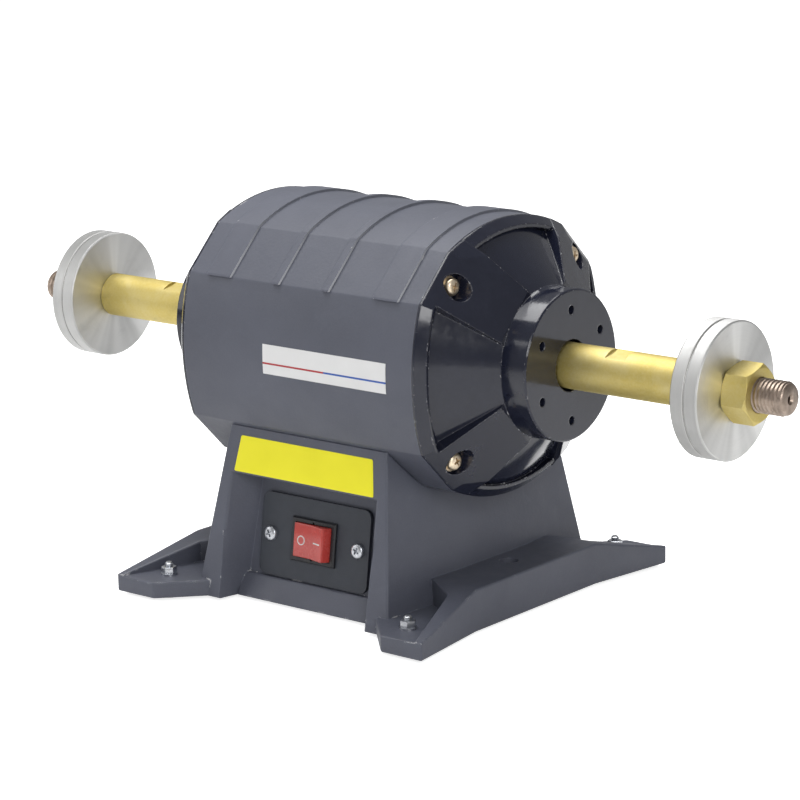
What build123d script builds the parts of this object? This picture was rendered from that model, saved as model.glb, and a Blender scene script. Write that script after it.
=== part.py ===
from build123d import *
import os
from math import atan2, cos, degrees, radians, sin, sqrt, tan

# Double-ended bench grinder. Millimetres. X runs along the shaft, -Y is the front with the
# switch, +Z is up. The origin is on the bench, under the middle of the machine.

# Whole machine
SHAFT_HEIGHT = 149.3
RIM_GAP = 2.0

# Motor housing: arcs on four sides, joined by four flat facets
HOUSING_LENGTH = 170.8
HOUSING_HALF_WIDTH = 86.8
HOUSING_HALF_HEIGHT = 81.0
FACET_LOW_Y = 79.1
FACET_LOW_Z = 42.9
FACET_HIGH_Y = 52.9
FACET_HIGH_Z = 68.5
FACET_ROUND = 2.5
HOUSING_BORE = 70.0
RIB_HEIGHT = 1.5
NARROW_RIB_START = 16.2
NARROW_RIB_END = 20.9
WIDE_RIB_START = 53.3
WIDE_RIB_END = 71.2

# End bells
RIM_DEPTH = 6.5
RIM_WIDTH = 7.0
RIM_BAND = 1.5
RIM_BEVEL = 5.0
POCKET_FLOOR = 2.0
HUB_RADIUS = 43.8
HUB_RISE = 14.8
HUB_LENGTH = 17.0
HUB_EDGE = 0.8
CONE_SLOPE = 0.85
ARM_WIDTH = 36.0
ARM_RIM_WIDTH = 46.0
SPIGOT_LENGTH = 8.5
SPIGOT_WALL = 7.0
BELL_INNER_DEPTH = 14.6
HUB_OPENING = 15.0
HUB_HOLE_PITCH = 32.0
HUB_HOLE_RADIUS = 2.6
HUB_HOLE_DEPTH = 14.0
HUB_HOLE_COUNT = 6
BELL_SCREW_Y = 56.5
BELL_SCREW_Z = 50.0
BELL_SCREW_SEAT = 2.5
BELL_SCREW_POCKET = 7.5
BELL_SCREW_RADIUS = 3.0
BELL_SCREW_HEAD_RADIUS = 5.5
BELL_SCREW_HEAD = 3.6
BELL_SCREW_BITE = 14.0
SCREW_CLEARANCE = 0.3

# Bearings, 20 x 47 x 14
BEARING_BORE = 10.0
BEARING_RADIUS = 23.5
BEARING_WIDTH = 14.0
BEARING_STEP = 1.5
INNER_RING_RADIUS = 14.4
OUTER_RING_BORE = 19.2
BALL_RADIUS = 3.8
BALL_COUNT = 8
BALL_CLEARANCE = 0.15
WAVE_WASHER = 1.5
WAVE_WASHER_BORE = 19.6

# Shaft line
ROTOR_SEAT = 13.0
THREAD_RADIUS = 9.8
THREAD_PROUD = 19.0
SHAFT_TIP_CHAMFER = 1.5
CENTRE_HOLE_RADIUS = 2.5
CENTRE_HOLE_DEPTH = 6.0
SLEEVE_RADIUS = 13.25
SLEEVE_EDGE = 0.6
WRENCH_FLAT_PROUD = 29.4
WRENCH_FLAT_LENGTH = 13.2
WRENCH_FLAT_ACROSS = 23.0
WRENCH_FLAT_TURN = 77.0
SLEEVE_PROUD = 92.8
FLANGE_RADIUS = 39.0
FLANGE_WIDTH = 8.7
FLANGE_EDGE = 0.8
FLANGE_RELIEF_RADIUS = 28.0
FLANGE_RELIEF = 1.2
NUT_ACROSS = 30.0
NUT_WIDTH = 16.0
NUT_TURN = 15.0
NUT_BEVEL = 30.0

# Rotor and stator
CORE_LENGTH = 70.0
ROTOR_RADIUS = 35.0
AIR_GAP = 0.5
CAGE_BAR_COUNT = 16
CAGE_BAR_INSET = 5.5
CAGE_BAR_RADIUS = 2.6
CAGE_RING_BORE = 22.0
CAGE_RING_INSET = 1.5
CAGE_RING_WIDTH = 8.0
SLOT_COUNT = 24
TOOTH_TIP = 3.5
SLOT_TOP = 56.0
SLOT_WIDTH = 5.0
SLOT_MOUTH = 2.4
WINDING_OVERHANG = 22.0
WINDING_CLEARANCE = 1.0
WINDING_RADIUS = 60.0
WINDING_BEVEL = 5.0

# Base casting
WALL = 6.0
SADDLE_WALL = 8.0
PEDESTAL_FOOT_X = 72.8
PEDESTAL_FOOT_Y = 96.0
PEDESTAL_SIDE_X = 79.0
PEDESTAL_SIDE_Y = 18.0
PEDESTAL_TOP_X = 58.6
PEDESTAL_TOP_Y = 76.7
PEDESTAL_TOP_SIDE_X = 59.2
PEDESTAL_TOP_SIDE_Y = 72.0
FOOT_ROOT_X = 62.0
FOOT_ROOT_Y = 93.4
FOOT_TIP_X = 115.7
FOOT_TIP_INNER_X = 86.5
FOOT_TIP_Y = 119.1
FLANK_X = 107.0
FLANK_Y = 58.0
PAD_TOP = 12.0
PAD_THICKNESS = 6.0
TIP_TOP = 12.6
SIDE_FLANGE_TOP = 27.0
SIDE_FLANGE_INNER_Y = 55.5
SIDE_FLANGE_OUTER_Y = 75.8
RIM_WALL = 16.0
RIM_TIP_WALL = 5.0
BENCH_HOLE_X = 86.4
BENCH_HOLE_RADIUS = 5.5
BENCH_BOSS_RADIUS = 11.0

# Rubber feet and their fixings
FOOT_X = 91.0
FOOT_Y = 100.0
RUBBER_RADIUS = 9.0
RUBBER_CLEARANCE = 0.5
FOOT_SCREW_RADIUS = 2.5
FOOT_SCREW_HEAD_RADIUS = 4.6
FOOT_SCREW_HEAD = 2.2
FOOT_SCREW_SUNK = 0.8
FOOT_SCREW_PROUD = 7.7
FOOT_NUT_ACROSS = 8.0
FOOT_NUT_HEIGHT = 4.0
FOOT_WASHER_RADIUS = 5.0
FOOT_WASHER = 1.0

# Bolts between base and housing
HOUSING_BOLT_X = 35.0
HOUSING_BOLT_Y = 25.0
HOUSING_BOLT_RADIUS = 4.0
HOUSING_BOLT_ACROSS = 13.0
HOUSING_BOLT_HEAD = 5.3
HOUSING_BOLT_BITE = 9.0
HOUSING_BOSS_RADIUS = 9.0
HOUSING_BOSS_DROP = 3.5

# Switch plate, seated in the recess of the base's front
PLATE_WIDTH = 81.6
PLATE_HEIGHT = 48.9
PLATE_THICKNESS = 2.5
PLATE_ROUND = 5.0
PLATE_DEPTH = 72.8
PLATE_MIDDLE = 40.7
PLATE_LEAN = 7.9
PLATE_SCREW_EDGE = 7.7
PLATE_SCREW_RADIUS = 2.0
PLATE_SCREW_HEAD_RADIUS = 3.6
PLATE_SCREW_HEAD = 2.4
PLATE_SCREW_LENGTH = 8.0
RECESS_TOP_ROOM = 3.5
RECESS_TOP_FLARE = 0.64
RECESS_FOOT_ROOM = 11.0
RECESS_FOOT_FLARE = 0.18
RECESS_RUN_OUT = 6.0
RECESS_TOP = 34.0
SILL_TOP = 15.0
SILL_EDGE = 8.0
SILL_EDGE_PROUD = 4.0
SILL_FOOT_PROUD = 7.5

# Rocker switch
BEZEL_WIDTH = 33.0
BEZEL_HEIGHT = 26.0
BEZEL_PROUD = 2.0
BEZEL_EDGE = 0.8
SWITCH_WIDTH = 29.2
SWITCH_HEIGHT = 23.6
SWITCH_DEPTH = 22.0
ROCKER_RADIUS = 13.4
ROCKER_HEIGHT = 20.0
ROCKER_CLEARANCE = 0.3
ROCKER_FACE = 3.2
ROCKER_PIVOT = 0.5
ROCKER_THROW = 9.0
PIVOT_RADIUS = 1.5
PIVOT_LENGTH = 1.0
PIVOT_CLEARANCE = 0.05
TERMINAL_WIDTH = 6.3
TERMINAL_THICKNESS = 0.8
TERMINAL_LENGTH = 8.0
TERMINAL_X = 8.0
TERMINAL_Y = 5.0

# Inside the base
CAPACITOR_RADIUS = 17.5
CAPACITOR_LENGTH = 64.0
CAPACITOR_Y = 38.0
CAPACITOR_Z = 35.0
CAPACITOR_EDGE = 1.5
CLAMP_WALL = 1.5
CLAMP_WIDTH = 14.0
CLAMP_TAB = 2.0
CLAMP_SCREW_Y = 61.0
CLAMP_SCREW_RADIUS = 2.0
CLAMP_SCREW_HEAD_RADIUS = 3.8
CLAMP_SCREW_HEAD = 2.5
CLAMP_SCREW_BITE = 8.0
CLAMP_BOSS_RADIUS = 6.0
COVER_GAP = 3.0
COVER_THICKNESS = 1.5
COVER_FIT = 0.5
COVER_SCREW_X = 62.0
COVER_SCREW_Y = 52.0
COVER_SCREW_RADIUS = 2.0
COVER_SCREW_HEAD_RADIUS = 3.6
COVER_SCREW_HEAD = 2.2
COVER_SCREW_BITE = 10.0
COVER_BOSS_RADIUS = 5.5
COVER_BOSS_HEIGHT = 18.0

# Cable gland in the back wall
GLAND_X = -30.0
GLAND_Z = 34.0
GLAND_THREAD_RADIUS = 8.0
GLAND_BORE = 4.2
GLAND_ACROSS = 22.0
GLAND_COLLAR = 5.0
GLAND_CAP_RADIUS = 10.5
GLAND_CAP_LENGTH = 11.0
GLAND_NECK = 6.0
GLAND_LOCK_NUT = 4.5

# Derived places
SEAM = HOUSING_LENGTH / 2
RIM_FACE = SEAM + RIM_DEPTH
SCREW_SEAT = SEAM + BELL_SCREW_SEAT
BELL_INNER_FACE = SEAM + BELL_INNER_DEPTH
HUB_BASE = BELL_INNER_FACE + HUB_RISE
HUB_FACE = HUB_BASE + HUB_LENGTH
BEARING_START = BELL_INNER_FACE + BEARING_STEP
BEARING_END = BEARING_START + BEARING_WIDTH
WRENCH_FLAT_START = HUB_FACE + WRENCH_FLAT_PROUD
FLANGE_START = HUB_FACE + SLEEVE_PROUD
FLANGE_MEET = FLANGE_START + FLANGE_WIDTH
NUT_START = FLANGE_MEET + FLANGE_WIDTH
NUT_END = NUT_START + NUT_WIDTH
SHAFT_REACH = NUT_END + THREAD_PROUD
PEDESTAL_TOP = SHAFT_HEIGHT - FACET_LOW_Z
PEDESTAL_LEAN = degrees(atan2(PEDESTAL_FOOT_Y - PEDESTAL_TOP_Y, PEDESTAL_TOP - RIM_GAP))
CORE_HALF = CORE_LENGTH / 2
CAGE_BAR_PITCH = ROTOR_RADIUS - CAGE_BAR_INSET
CAGE_RING_RADIUS = ROTOR_RADIUS - CAGE_RING_INSET
SLOT_BOTTOM = ROTOR_RADIUS + AIR_GAP + TOOTH_TIP
WINDING_BORE = SLOT_BOTTOM + WINDING_CLEARANCE
PLATE_SCREW_X = PLATE_WIDTH / 2 - PLATE_SCREW_EDGE
RECESS_TOP_HALF = PLATE_WIDTH / 2 + RECESS_TOP_ROOM
RECESS_FOOT_HALF = PLATE_WIDTH / 2 + RECESS_FOOT_ROOM
CLAMP_SEAT = CAPACITOR_Z + CAPACITOR_RADIUS + CLAMP_WALL + CLAMP_TAB / 2
PAD_UNDERSIDE = PAD_TOP - PAD_THICKNESS
FACET_ANGLE = degrees(atan2(FACET_LOW_Y - FACET_HIGH_Y, FACET_HIGH_Z - FACET_LOW_Z))
FACET_DISTANCE = FACET_LOW_Y * cos(radians(FACET_ANGLE)) + FACET_LOW_Z * sin(radians(FACET_ANGLE))
BIG = 2 * SHAFT_REACH

PLATE_FRAME = Plane(
    origin=(0, -PLATE_DEPTH, PLATE_MIDDLE),
    x_dir=(1, 0, 0),
    z_dir=(0, -cos(radians(PLATE_LEAN)), sin(radians(PLATE_LEAN))),
)
RECESS_FRAME = Plane(
    origin=PLATE_FRAME.origin,
    x_dir=(1, 0, 0),
    z_dir=PLATE_FRAME.y_dir,
)


# Shared shapes

def at_shaft(shape):
    """Lift a shape made about the X axis up to the shaft line."""
    return Pos(0, 0, SHAFT_HEIGHT) * shape


def turned(*points):
    """Solid turned about the shaft line from (distance along X, radius) points."""
    section = make_face(Polyline(*points, close=True))
    return at_shaft(revolve(section, Axis.X))


def tube(start, end, outer, inner):
    """Plain ring on the shaft line."""
    return turned((start, inner), (end, inner), (end, outer), (start, outer))


def rod(start, end, radius, y=0.0, z=0.0):
    """Round bar along X, placed from the shaft line."""
    section = Plane.YZ * Circle(radius)
    return Pos(start, y, SHAFT_HEIGHT + z) * extrude(section, end - start)


def post(x, y, low, high, radius):
    """Upright round bar between two heights."""
    return Pos(x, y, low) * extrude(Circle(radius), high - low)


def hexagon(across):
    """Hexagon given across its flats."""
    return RegularPolygon(across / 2, 6, major_radius=False)


def upright_hex(x, y, low, high, across):
    """Upright hexagon bar between two heights."""
    return Pos(x, y, low) * extrude(hexagon(across), high - low)


def slab(face, low, high):
    """Flat outline raised between two heights."""
    return Pos(0, 0, low) * extrude(face, high - low)


def four_corners(x, y):
    """The same place in all four quadrants."""
    return [(sx * x, sy * y) for sx in (-1, 1) for sy in (-1, 1)]


def group(solids):
    """Identical loose pieces kept together."""
    return Compound(children=list(solids))


def other_side(shape):
    """The same piece for the left end of the machine."""
    return mirror(shape, about=Plane.YZ)


def motor_outline(grow=0.0):
    """Section of the motor body, grown outwards or drawn inwards by a distance."""
    right = ThreePointArc(
        (FACET_LOW_Y, -FACET_LOW_Z), (HOUSING_HALF_WIDTH, 0), (FACET_LOW_Y, FACET_LOW_Z)
    )
    top = ThreePointArc(
        (FACET_HIGH_Y, FACET_HIGH_Z), (0, HOUSING_HALF_HEIGHT), (-FACET_HIGH_Y, FACET_HIGH_Z)
    )
    left = ThreePointArc(
        (-FACET_LOW_Y, FACET_LOW_Z), (-HOUSING_HALF_WIDTH, 0), (-FACET_LOW_Y, -FACET_LOW_Z)
    )
    bottom = ThreePointArc(
        (-FACET_HIGH_Y, -FACET_HIGH_Z), (0, -HOUSING_HALF_HEIGHT), (FACET_HIGH_Y, -FACET_HIGH_Z)
    )
    facets = [
        Line(right @ 1, top @ 0),
        Line(top @ 1, left @ 0),
        Line(left @ 1, bottom @ 0),
        Line(bottom @ 1, right @ 0),
    ]
    face = make_face([right, top, left, bottom] + facets)
    if grow:
        face = offset(face, grow, kind=Kind.INTERSECTION)
    return fillet(face.vertices(), FACET_ROUND)


def motor_prism(start, end, grow=0.0):
    """The motor's section carried along X."""
    section = Plane.YZ * motor_outline(grow)
    return Pos(start, 0, SHAFT_HEIGHT) * extrude(section, end - start)


def bell_screw_places():
    """Screw places about the shaft line, one on each facet."""
    return four_corners(BELL_SCREW_Y, BELL_SCREW_Z)


# Motor

def motor_housing():
    """Bored shell with ribs over its upper half and tapped ends."""
    body = motor_prism(-SEAM, SEAM)
    upper = Pos(0, 0, SHAFT_HEIGHT + FACET_LOW_Z) * extrude(Rectangle(BIG, BIG), BIG)
    spans = [(NARROW_RIB_START, NARROW_RIB_END), (WIDE_RIB_START, WIDE_RIB_END)]
    for near, far in spans:
        rib = motor_prism(near, far, RIB_HEIGHT) & upper
        body += rib
        body += other_side(rib)
    body -= rod(-SEAM, SEAM, HOUSING_BORE)
    for y, z in bell_screw_places():
        hole = rod(SEAM - BELL_SCREW_BITE, SEAM, BELL_SCREW_RADIUS, y, z)
        body -= hole
        body -= other_side(hole)
    for x, y in four_corners(HOUSING_BOLT_X, HOUSING_BOLT_Y):
        body -= post(x, y, RIM_GAP, housing_bolt_tip(), HOUSING_BOLT_RADIUS)
    return body


def saddle_height():
    """Underside of the housing above the bench, at the housing bolts."""
    sag = HOUSING_HALF_HEIGHT - FACET_HIGH_Z
    arc_radius = (FACET_HIGH_Y ** 2 + sag ** 2) / (2 * sag)
    drop = arc_radius - sqrt(arc_radius ** 2 - HOUSING_BOLT_Y ** 2)
    return SHAFT_HEIGHT - HOUSING_HALF_HEIGHT + drop


def housing_bolt_seat():
    """Flat face inside the base that a housing bolt's head bears on."""
    return saddle_height() - SADDLE_WALL - HOUSING_BOSS_DROP


def housing_bolt_tip():
    """Top of the housing bolts' threads."""
    return saddle_height() + HOUSING_BOLT_BITE


def housing_bolts():
    """Four bolts that hold the motor down, put in from inside the base."""
    seat = housing_bolt_seat()
    solids = []
    for x, y in four_corners(HOUSING_BOLT_X, HOUSING_BOLT_Y):
        head = upright_hex(x, y, seat - HOUSING_BOLT_HEAD, seat, HOUSING_BOLT_ACROSS)
        solids.append(head + post(x, y, seat, housing_bolt_tip(), HOUSING_BOLT_RADIUS))
    return group(solids)


def bell_arm(angle):
    """Flat-faced arm that slopes from a facet of the rim up to the hub."""
    section = Polyline(
        (SEAM, 0),
        (SEAM, FACET_DISTANCE),
        (SEAM + RIM_BAND, FACET_DISTANCE),
        (RIM_FACE, FACET_DISTANCE - RIM_BEVEL),
        (HUB_BASE, HUB_RADIUS),
        (HUB_BASE, 0),
        close=True,
    )
    arm = extrude(make_face(section), ARM_RIM_WIDTH / 2, both=True)
    wedge = Polygon(
        (0, -ARM_WIDTH / 2),
        (HUB_RADIUS, -ARM_WIDTH / 2),
        (FACET_DISTANCE, -ARM_RIM_WIDTH / 2),
        (FACET_DISTANCE, ARM_RIM_WIDTH / 2),
        (HUB_RADIUS, ARM_WIDTH / 2),
        (0, ARM_WIDTH / 2),
        align=None,
    )
    arm &= extrude(Plane.YZ * wedge, HUB_FACE)
    return at_shaft(Rot(angle, 0, 0) * arm)


def rim_slope():
    """Sloping outside of the rim, from its straight band to its front face."""
    wide = Pos(SEAM + RIM_BAND, 0, SHAFT_HEIGHT) * (Plane.YZ * motor_outline())
    narrow = Pos(RIM_FACE, 0, SHAFT_HEIGHT) * (Plane.YZ * motor_outline(-RIM_BEVEL))
    return loft([wide, narrow], ruled=True)


def end_bell(pocket_end):
    """Right-hand end bell; the bearing's pocket ends at the given place."""
    rim = motor_prism(SEAM, SEAM + RIM_BAND) + rim_slope()
    rim -= motor_prism(SEAM + POCKET_FLOOR, RIM_FACE + RIM_DEPTH, -RIM_WIDTH)
    cone_foot = HUB_RADIUS + (HUB_BASE - SEAM) / CONE_SLOPE
    body = rim + turned((SEAM, 0), (SEAM, cone_foot), (HUB_BASE, HUB_RADIUS), (HUB_BASE, 0))
    arms = [bell_arm(side) for side in (FACET_ANGLE, 180 - FACET_ANGLE)]
    arms += [bell_arm(side) for side in (180 + FACET_ANGLE, -FACET_ANGLE)]
    outline = motor_prism(SEAM, HUB_FACE)
    for arm in arms:
        body += arm & outline
    hub = turned(
        (SEAM, 0),
        (SEAM, HUB_RADIUS),
        (HUB_FACE - HUB_EDGE, HUB_RADIUS),
        (HUB_FACE, HUB_RADIUS - HUB_EDGE),
        (HUB_FACE, 0),
    )
    body += hub
    body += rod(SEAM - SPIGOT_LENGTH, SEAM, HOUSING_BORE)
    inside = HOUSING_BORE - SPIGOT_WALL
    inner_step = SEAM + POCKET_FLOOR
    face_radius = inside - (BELL_INNER_FACE - inner_step) / CONE_SLOPE
    body -= turned(
        (SEAM - SPIGOT_LENGTH, 0),
        (SEAM - SPIGOT_LENGTH, inside),
        (inner_step, inside),
        (BELL_INNER_FACE, face_radius),
        (BELL_INNER_FACE, 0),
    )
    body -= rod(BELL_INNER_FACE, pocket_end, BEARING_RADIUS)
    body -= rod(pocket_end, HUB_FACE, HUB_OPENING)
    for y, z in bell_screw_places():
        body -= rod(SCREW_SEAT, HUB_FACE, BELL_SCREW_POCKET, y, z)
        body -= rod(SEAM, SCREW_SEAT, BELL_SCREW_RADIUS + SCREW_CLEARANCE, y, z)
    drill = rod(HUB_FACE - HUB_HOLE_DEPTH, HUB_FACE, HUB_HOLE_RADIUS)
    for turn in range(HUB_HOLE_COUNT):
        angle = radians((turn + 0.5) * 360 / HUB_HOLE_COUNT)
        body -= Pos(0, HUB_HOLE_PITCH * cos(angle), HUB_HOLE_PITCH * sin(angle)) * drill
    return body


def bell_screws():
    """Four pan-head screws of the right end bell."""
    solids = []
    for y, z in bell_screw_places():
        head = rod(SCREW_SEAT, SCREW_SEAT + BELL_SCREW_HEAD, BELL_SCREW_HEAD_RADIUS, y, z)
        head = chamfer(head.edges().sort_by(Axis.X)[-1], BELL_SCREW_HEAD / 3)
        shank = rod(SEAM - BELL_SCREW_BITE, SCREW_SEAT, BELL_SCREW_RADIUS, y, z)
        solids.append(head + shank)
    return group(solids)


# Bearings

def ball_pitch():
    """Radius of the circle through the balls' middles."""
    return (INNER_RING_RADIUS + OUTER_RING_BORE) / 2


def ball_track():
    """Groove that the balls run in, cut from both rings."""
    middle = BEARING_START + BEARING_WIDTH / 2
    section = Pos(middle, ball_pitch()) * Circle(BALL_RADIUS + BALL_CLEARANCE)
    return at_shaft(revolve(section, Axis.X))


def bearing_outer_ring():
    """Outer ring, pressed in the end bell."""
    return tube(BEARING_START, BEARING_END, BEARING_RADIUS, OUTER_RING_BORE) - ball_track()


def bearing_inner_ring():
    """Inner ring, pressed on the shaft."""
    return tube(BEARING_START, BEARING_END, INNER_RING_RADIUS, BEARING_BORE) - ball_track()


def bearing_balls():
    """Balls of one bearing."""
    middle = BEARING_START + BEARING_WIDTH / 2
    solids = []
    for turn in range(BALL_COUNT):
        angle = radians(turn * 360 / BALL_COUNT)
        y = ball_pitch() * cos(angle)
        z = SHAFT_HEIGHT + ball_pitch() * sin(angle)
        solids.append(Pos(middle, y, z) * Sphere(BALL_RADIUS))
    return group(solids)


def wave_washer():
    """Spring washer between the right bearing and its pocket's end."""
    return tube(BEARING_END, BEARING_END + WAVE_WASHER, BEARING_RADIUS, WAVE_WASHER_BORE)


# Shaft line

def shaft():
    """Stepped shaft with a centre hole in each end."""
    half = turned(
        (0, 0),
        (0, ROTOR_SEAT),
        (BEARING_START, ROTOR_SEAT),
        (BEARING_START, BEARING_BORE),
        (NUT_END, BEARING_BORE),
        (NUT_END, THREAD_RADIUS),
        (SHAFT_REACH - SHAFT_TIP_CHAMFER, THREAD_RADIUS),
        (SHAFT_REACH, THREAD_RADIUS - SHAFT_TIP_CHAMFER),
        (SHAFT_REACH, CENTRE_HOLE_RADIUS),
        (SHAFT_REACH - CENTRE_HOLE_DEPTH, 0),
    )
    return half + other_side(half)


def sleeve():
    """Spacer sleeve from the right bearing to the flanges, with two wrench flats."""
    body = turned(
        (BEARING_END, BEARING_BORE),
        (BEARING_END, SLEEVE_RADIUS),
        (FLANGE_START - SLEEVE_EDGE, SLEEVE_RADIUS),
        (FLANGE_START, SLEEVE_RADIUS - SLEEVE_EDGE),
        (FLANGE_START, BEARING_BORE),
    )
    chip = SLEEVE_RADIUS - WRENCH_FLAT_ACROSS / 2
    middle = WRENCH_FLAT_START + WRENCH_FLAT_LENGTH / 2
    for turn in (WRENCH_FLAT_TURN, WRENCH_FLAT_TURN + 180):
        cut = Box(WRENCH_FLAT_LENGTH, chip, 2 * SLEEVE_RADIUS)
        cut = Pos(middle, (WRENCH_FLAT_ACROSS + chip) / 2, 0) * cut
        body -= at_shaft(Rot(-turn, 0, 0) * cut)
    return body


def clamp_flange(outside, inside):
    """Turned flange; its relieved face is at the inside place."""
    step = FLANGE_EDGE if inside > outside else -FLANGE_EDGE
    relief = FLANGE_RELIEF if inside > outside else -FLANGE_RELIEF
    return turned(
        (outside, BEARING_BORE),
        (outside, FLANGE_RADIUS - FLANGE_EDGE),
        (outside + step, FLANGE_RADIUS),
        (inside - step, FLANGE_RADIUS),
        (inside, FLANGE_RADIUS - FLANGE_EDGE),
        (inside, FLANGE_RELIEF_RADIUS),
        (inside - relief, FLANGE_RELIEF_RADIUS),
        (inside - relief, BEARING_BORE),
    )


def spindle_nut():
    """Hexagon nut on the right thread, bevelled at both ends."""
    section = Plane.YZ * (Rot(0, 0, NUT_TURN) * hexagon(NUT_ACROSS))
    body = Pos(NUT_START, 0, SHAFT_HEIGHT) * extrude(section, NUT_WIDTH)
    corner = NUT_ACROSS / sqrt(3)
    bevel = (corner - NUT_ACROSS / 2) * tan(radians(NUT_BEVEL))
    body &= turned(
        (NUT_START, 0),
        (NUT_START, NUT_ACROSS / 2),
        (NUT_START + bevel, corner),
        (NUT_END - bevel, corner),
        (NUT_END, NUT_ACROSS / 2),
        (NUT_END, 0),
    )
    return body - rod(NUT_START, NUT_END, BEARING_BORE)


# Rotor and stator

def cage_bars():
    """Bars of the rotor cage, from end ring to end ring."""
    bar = rod(-CORE_HALF, CORE_HALF, CAGE_BAR_RADIUS)
    bars = []
    for turn in range(CAGE_BAR_COUNT):
        angle = radians(turn * 360 / CAGE_BAR_COUNT)
        bars.append(Pos(0, CAGE_BAR_PITCH * cos(angle), CAGE_BAR_PITCH * sin(angle)) * bar)
    return bars


def rotor_core():
    """Stack of rotor laminations."""
    return tube(-CORE_HALF, CORE_HALF, ROTOR_RADIUS, ROTOR_SEAT) - cage_bars()


def rotor_cage():
    """Cast cage: bars through the core and a ring at each end."""
    ring = tube(CORE_HALF, CORE_HALF + CAGE_RING_WIDTH, CAGE_RING_RADIUS, CAGE_RING_BORE)
    return ring + cage_bars() + other_side(ring)


def slot_bar(width, inner, outer):
    """One radial bar through the stator, at the first slot."""
    middle = (inner + outer) / 2
    return Pos(0, middle, SHAFT_HEIGHT) * Box(CORE_LENGTH, outer - inner, width)


def around_shaft(shape, count):
    """Copies of a shape, evenly spaced about the shaft line."""
    line = Axis((0, 0, SHAFT_HEIGHT), (1, 0, 0))
    return [shape.rotate(line, turn * 360 / count) for turn in range(count)]


def stator_core():
    """Stack of stator laminations with open slots."""
    stator_bore = ROTOR_RADIUS + AIR_GAP
    body = tube(-CORE_HALF, CORE_HALF, HOUSING_BORE, stator_bore)
    body -= around_shaft(slot_bar(SLOT_WIDTH, SLOT_BOTTOM, SLOT_TOP), SLOT_COUNT)
    return body - around_shaft(slot_bar(SLOT_MOUTH, ROTOR_RADIUS, SLOT_BOTTOM), SLOT_COUNT)


def stator_winding():
    """Coil sides in the slots, joined by a rounded bundle of end turns on each side."""
    far = CORE_HALF + WINDING_OVERHANG
    bundle = turned(
        (CORE_HALF, SLOT_BOTTOM),
        (CORE_HALF, SLOT_TOP),
        (CORE_HALF + WINDING_BEVEL, WINDING_RADIUS),
        (far - WINDING_BEVEL, WINDING_RADIUS),
        (far, WINDING_RADIUS - WINDING_BEVEL),
        (far, WINDING_BORE + WINDING_BEVEL),
        (far - WINDING_BEVEL, WINDING_BORE),
        (CORE_HALF + WINDING_BEVEL, WINDING_BORE),
    )
    sides = around_shaft(slot_bar(SLOT_WIDTH, SLOT_BOTTOM, SLOT_TOP), SLOT_COUNT)
    return bundle + sides + other_side(bundle)


# Base casting

def eight_points(corner_x, corner_y, side_x, side_y):
    """Outline with a slanted side in each corner, the same in all four quadrants."""
    right = [(corner_x, -corner_y), (side_x, -side_y), (side_x, side_y), (corner_x, corner_y)]
    left = [(-x, y) for x, y in reversed(right)]
    return Polygon(*right, *left, align=None)


def pedestal(inset=0.0):
    """Tapered pedestal, drawn in on all sides by an inset."""
    foot = eight_points(
        PEDESTAL_FOOT_X - inset, PEDESTAL_FOOT_Y - inset, PEDESTAL_SIDE_X - inset, PEDESTAL_SIDE_Y
    )
    top = eight_points(
        PEDESTAL_TOP_X - inset,
        PEDESTAL_TOP_Y - inset,
        PEDESTAL_TOP_SIDE_X - inset,
        PEDESTAL_TOP_SIDE_Y - inset,
    )
    return loft([Pos(0, 0, RIM_GAP) * foot, Pos(0, 0, PEDESTAL_TOP) * top], ruled=True)


def recess_section(height, half, flare, margin):
    """Outline of the hollow at a height above the switch plate's middle."""
    reach = PEDESTAL_FOOT_Y
    back = PLATE_THICKNESS + margin
    wide = half + margin + flare * (reach + back)
    narrow = half + margin
    outline = Polygon((narrow, back), (-narrow, back), (-wide, -reach), (wide, -reach), align=None)
    return RECESS_FRAME.offset(height) * outline


def switch_recess(margin=0.0):
    """Hollow in the pedestal's front, grown by a margin, open below and towards the front."""
    low = recess_section(-PLATE_MIDDLE - RECESS_RUN_OUT, RECESS_FOOT_HALF, RECESS_FOOT_FLARE, margin)
    high = recess_section(RECESS_TOP + margin, RECESS_TOP_HALF, RECESS_TOP_FLARE, margin)
    return loft([low, high], ruled=True)


def sill():
    """Foot of the hollow's back wall, sweeping forwards below the switch plate."""
    back = PLATE_DEPTH - PLATE_THICKNESS
    front = PLATE_DEPTH + (PLATE_MIDDLE - SILL_TOP) * tan(radians(PLATE_LEAN))
    profile = Polygon(
        (-back, RIM_GAP),
        (-back, SILL_TOP),
        (-front, SILL_TOP),
        (-front - SILL_EDGE_PROUD, SILL_EDGE),
        (-front - SILL_FOOT_PROUD, RIM_GAP),
        align=None,
    )
    return extrude(Plane.YZ * profile, RECESS_FOOT_HALF, both=True)


def base_cavity(wall):
    """Inside of the base, with the given wall left all round."""
    inside = pedestal(wall) - switch_recess(wall)
    return inside - motor_prism(-SEAM, SEAM, SADDLE_WALL)


def footprint():
    """Outline of the casting on the bench: four feet joined by two flanks."""
    right = [
        (FOOT_ROOT_X, -FOOT_ROOT_Y),
        (FOOT_TIP_INNER_X, -FOOT_TIP_Y),
        (FOOT_TIP_X, -FOOT_TIP_Y),
        (FLANK_X, -FLANK_Y),
        (FLANK_X, FLANK_Y),
        (FOOT_TIP_X, FOOT_TIP_Y),
        (FOOT_TIP_INNER_X, FOOT_TIP_Y),
        (FOOT_ROOT_X, FOOT_ROOT_Y),
    ]
    left = [(-x, y) for x, y in reversed(right)]
    return Polygon(*right, *left, align=None)


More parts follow.
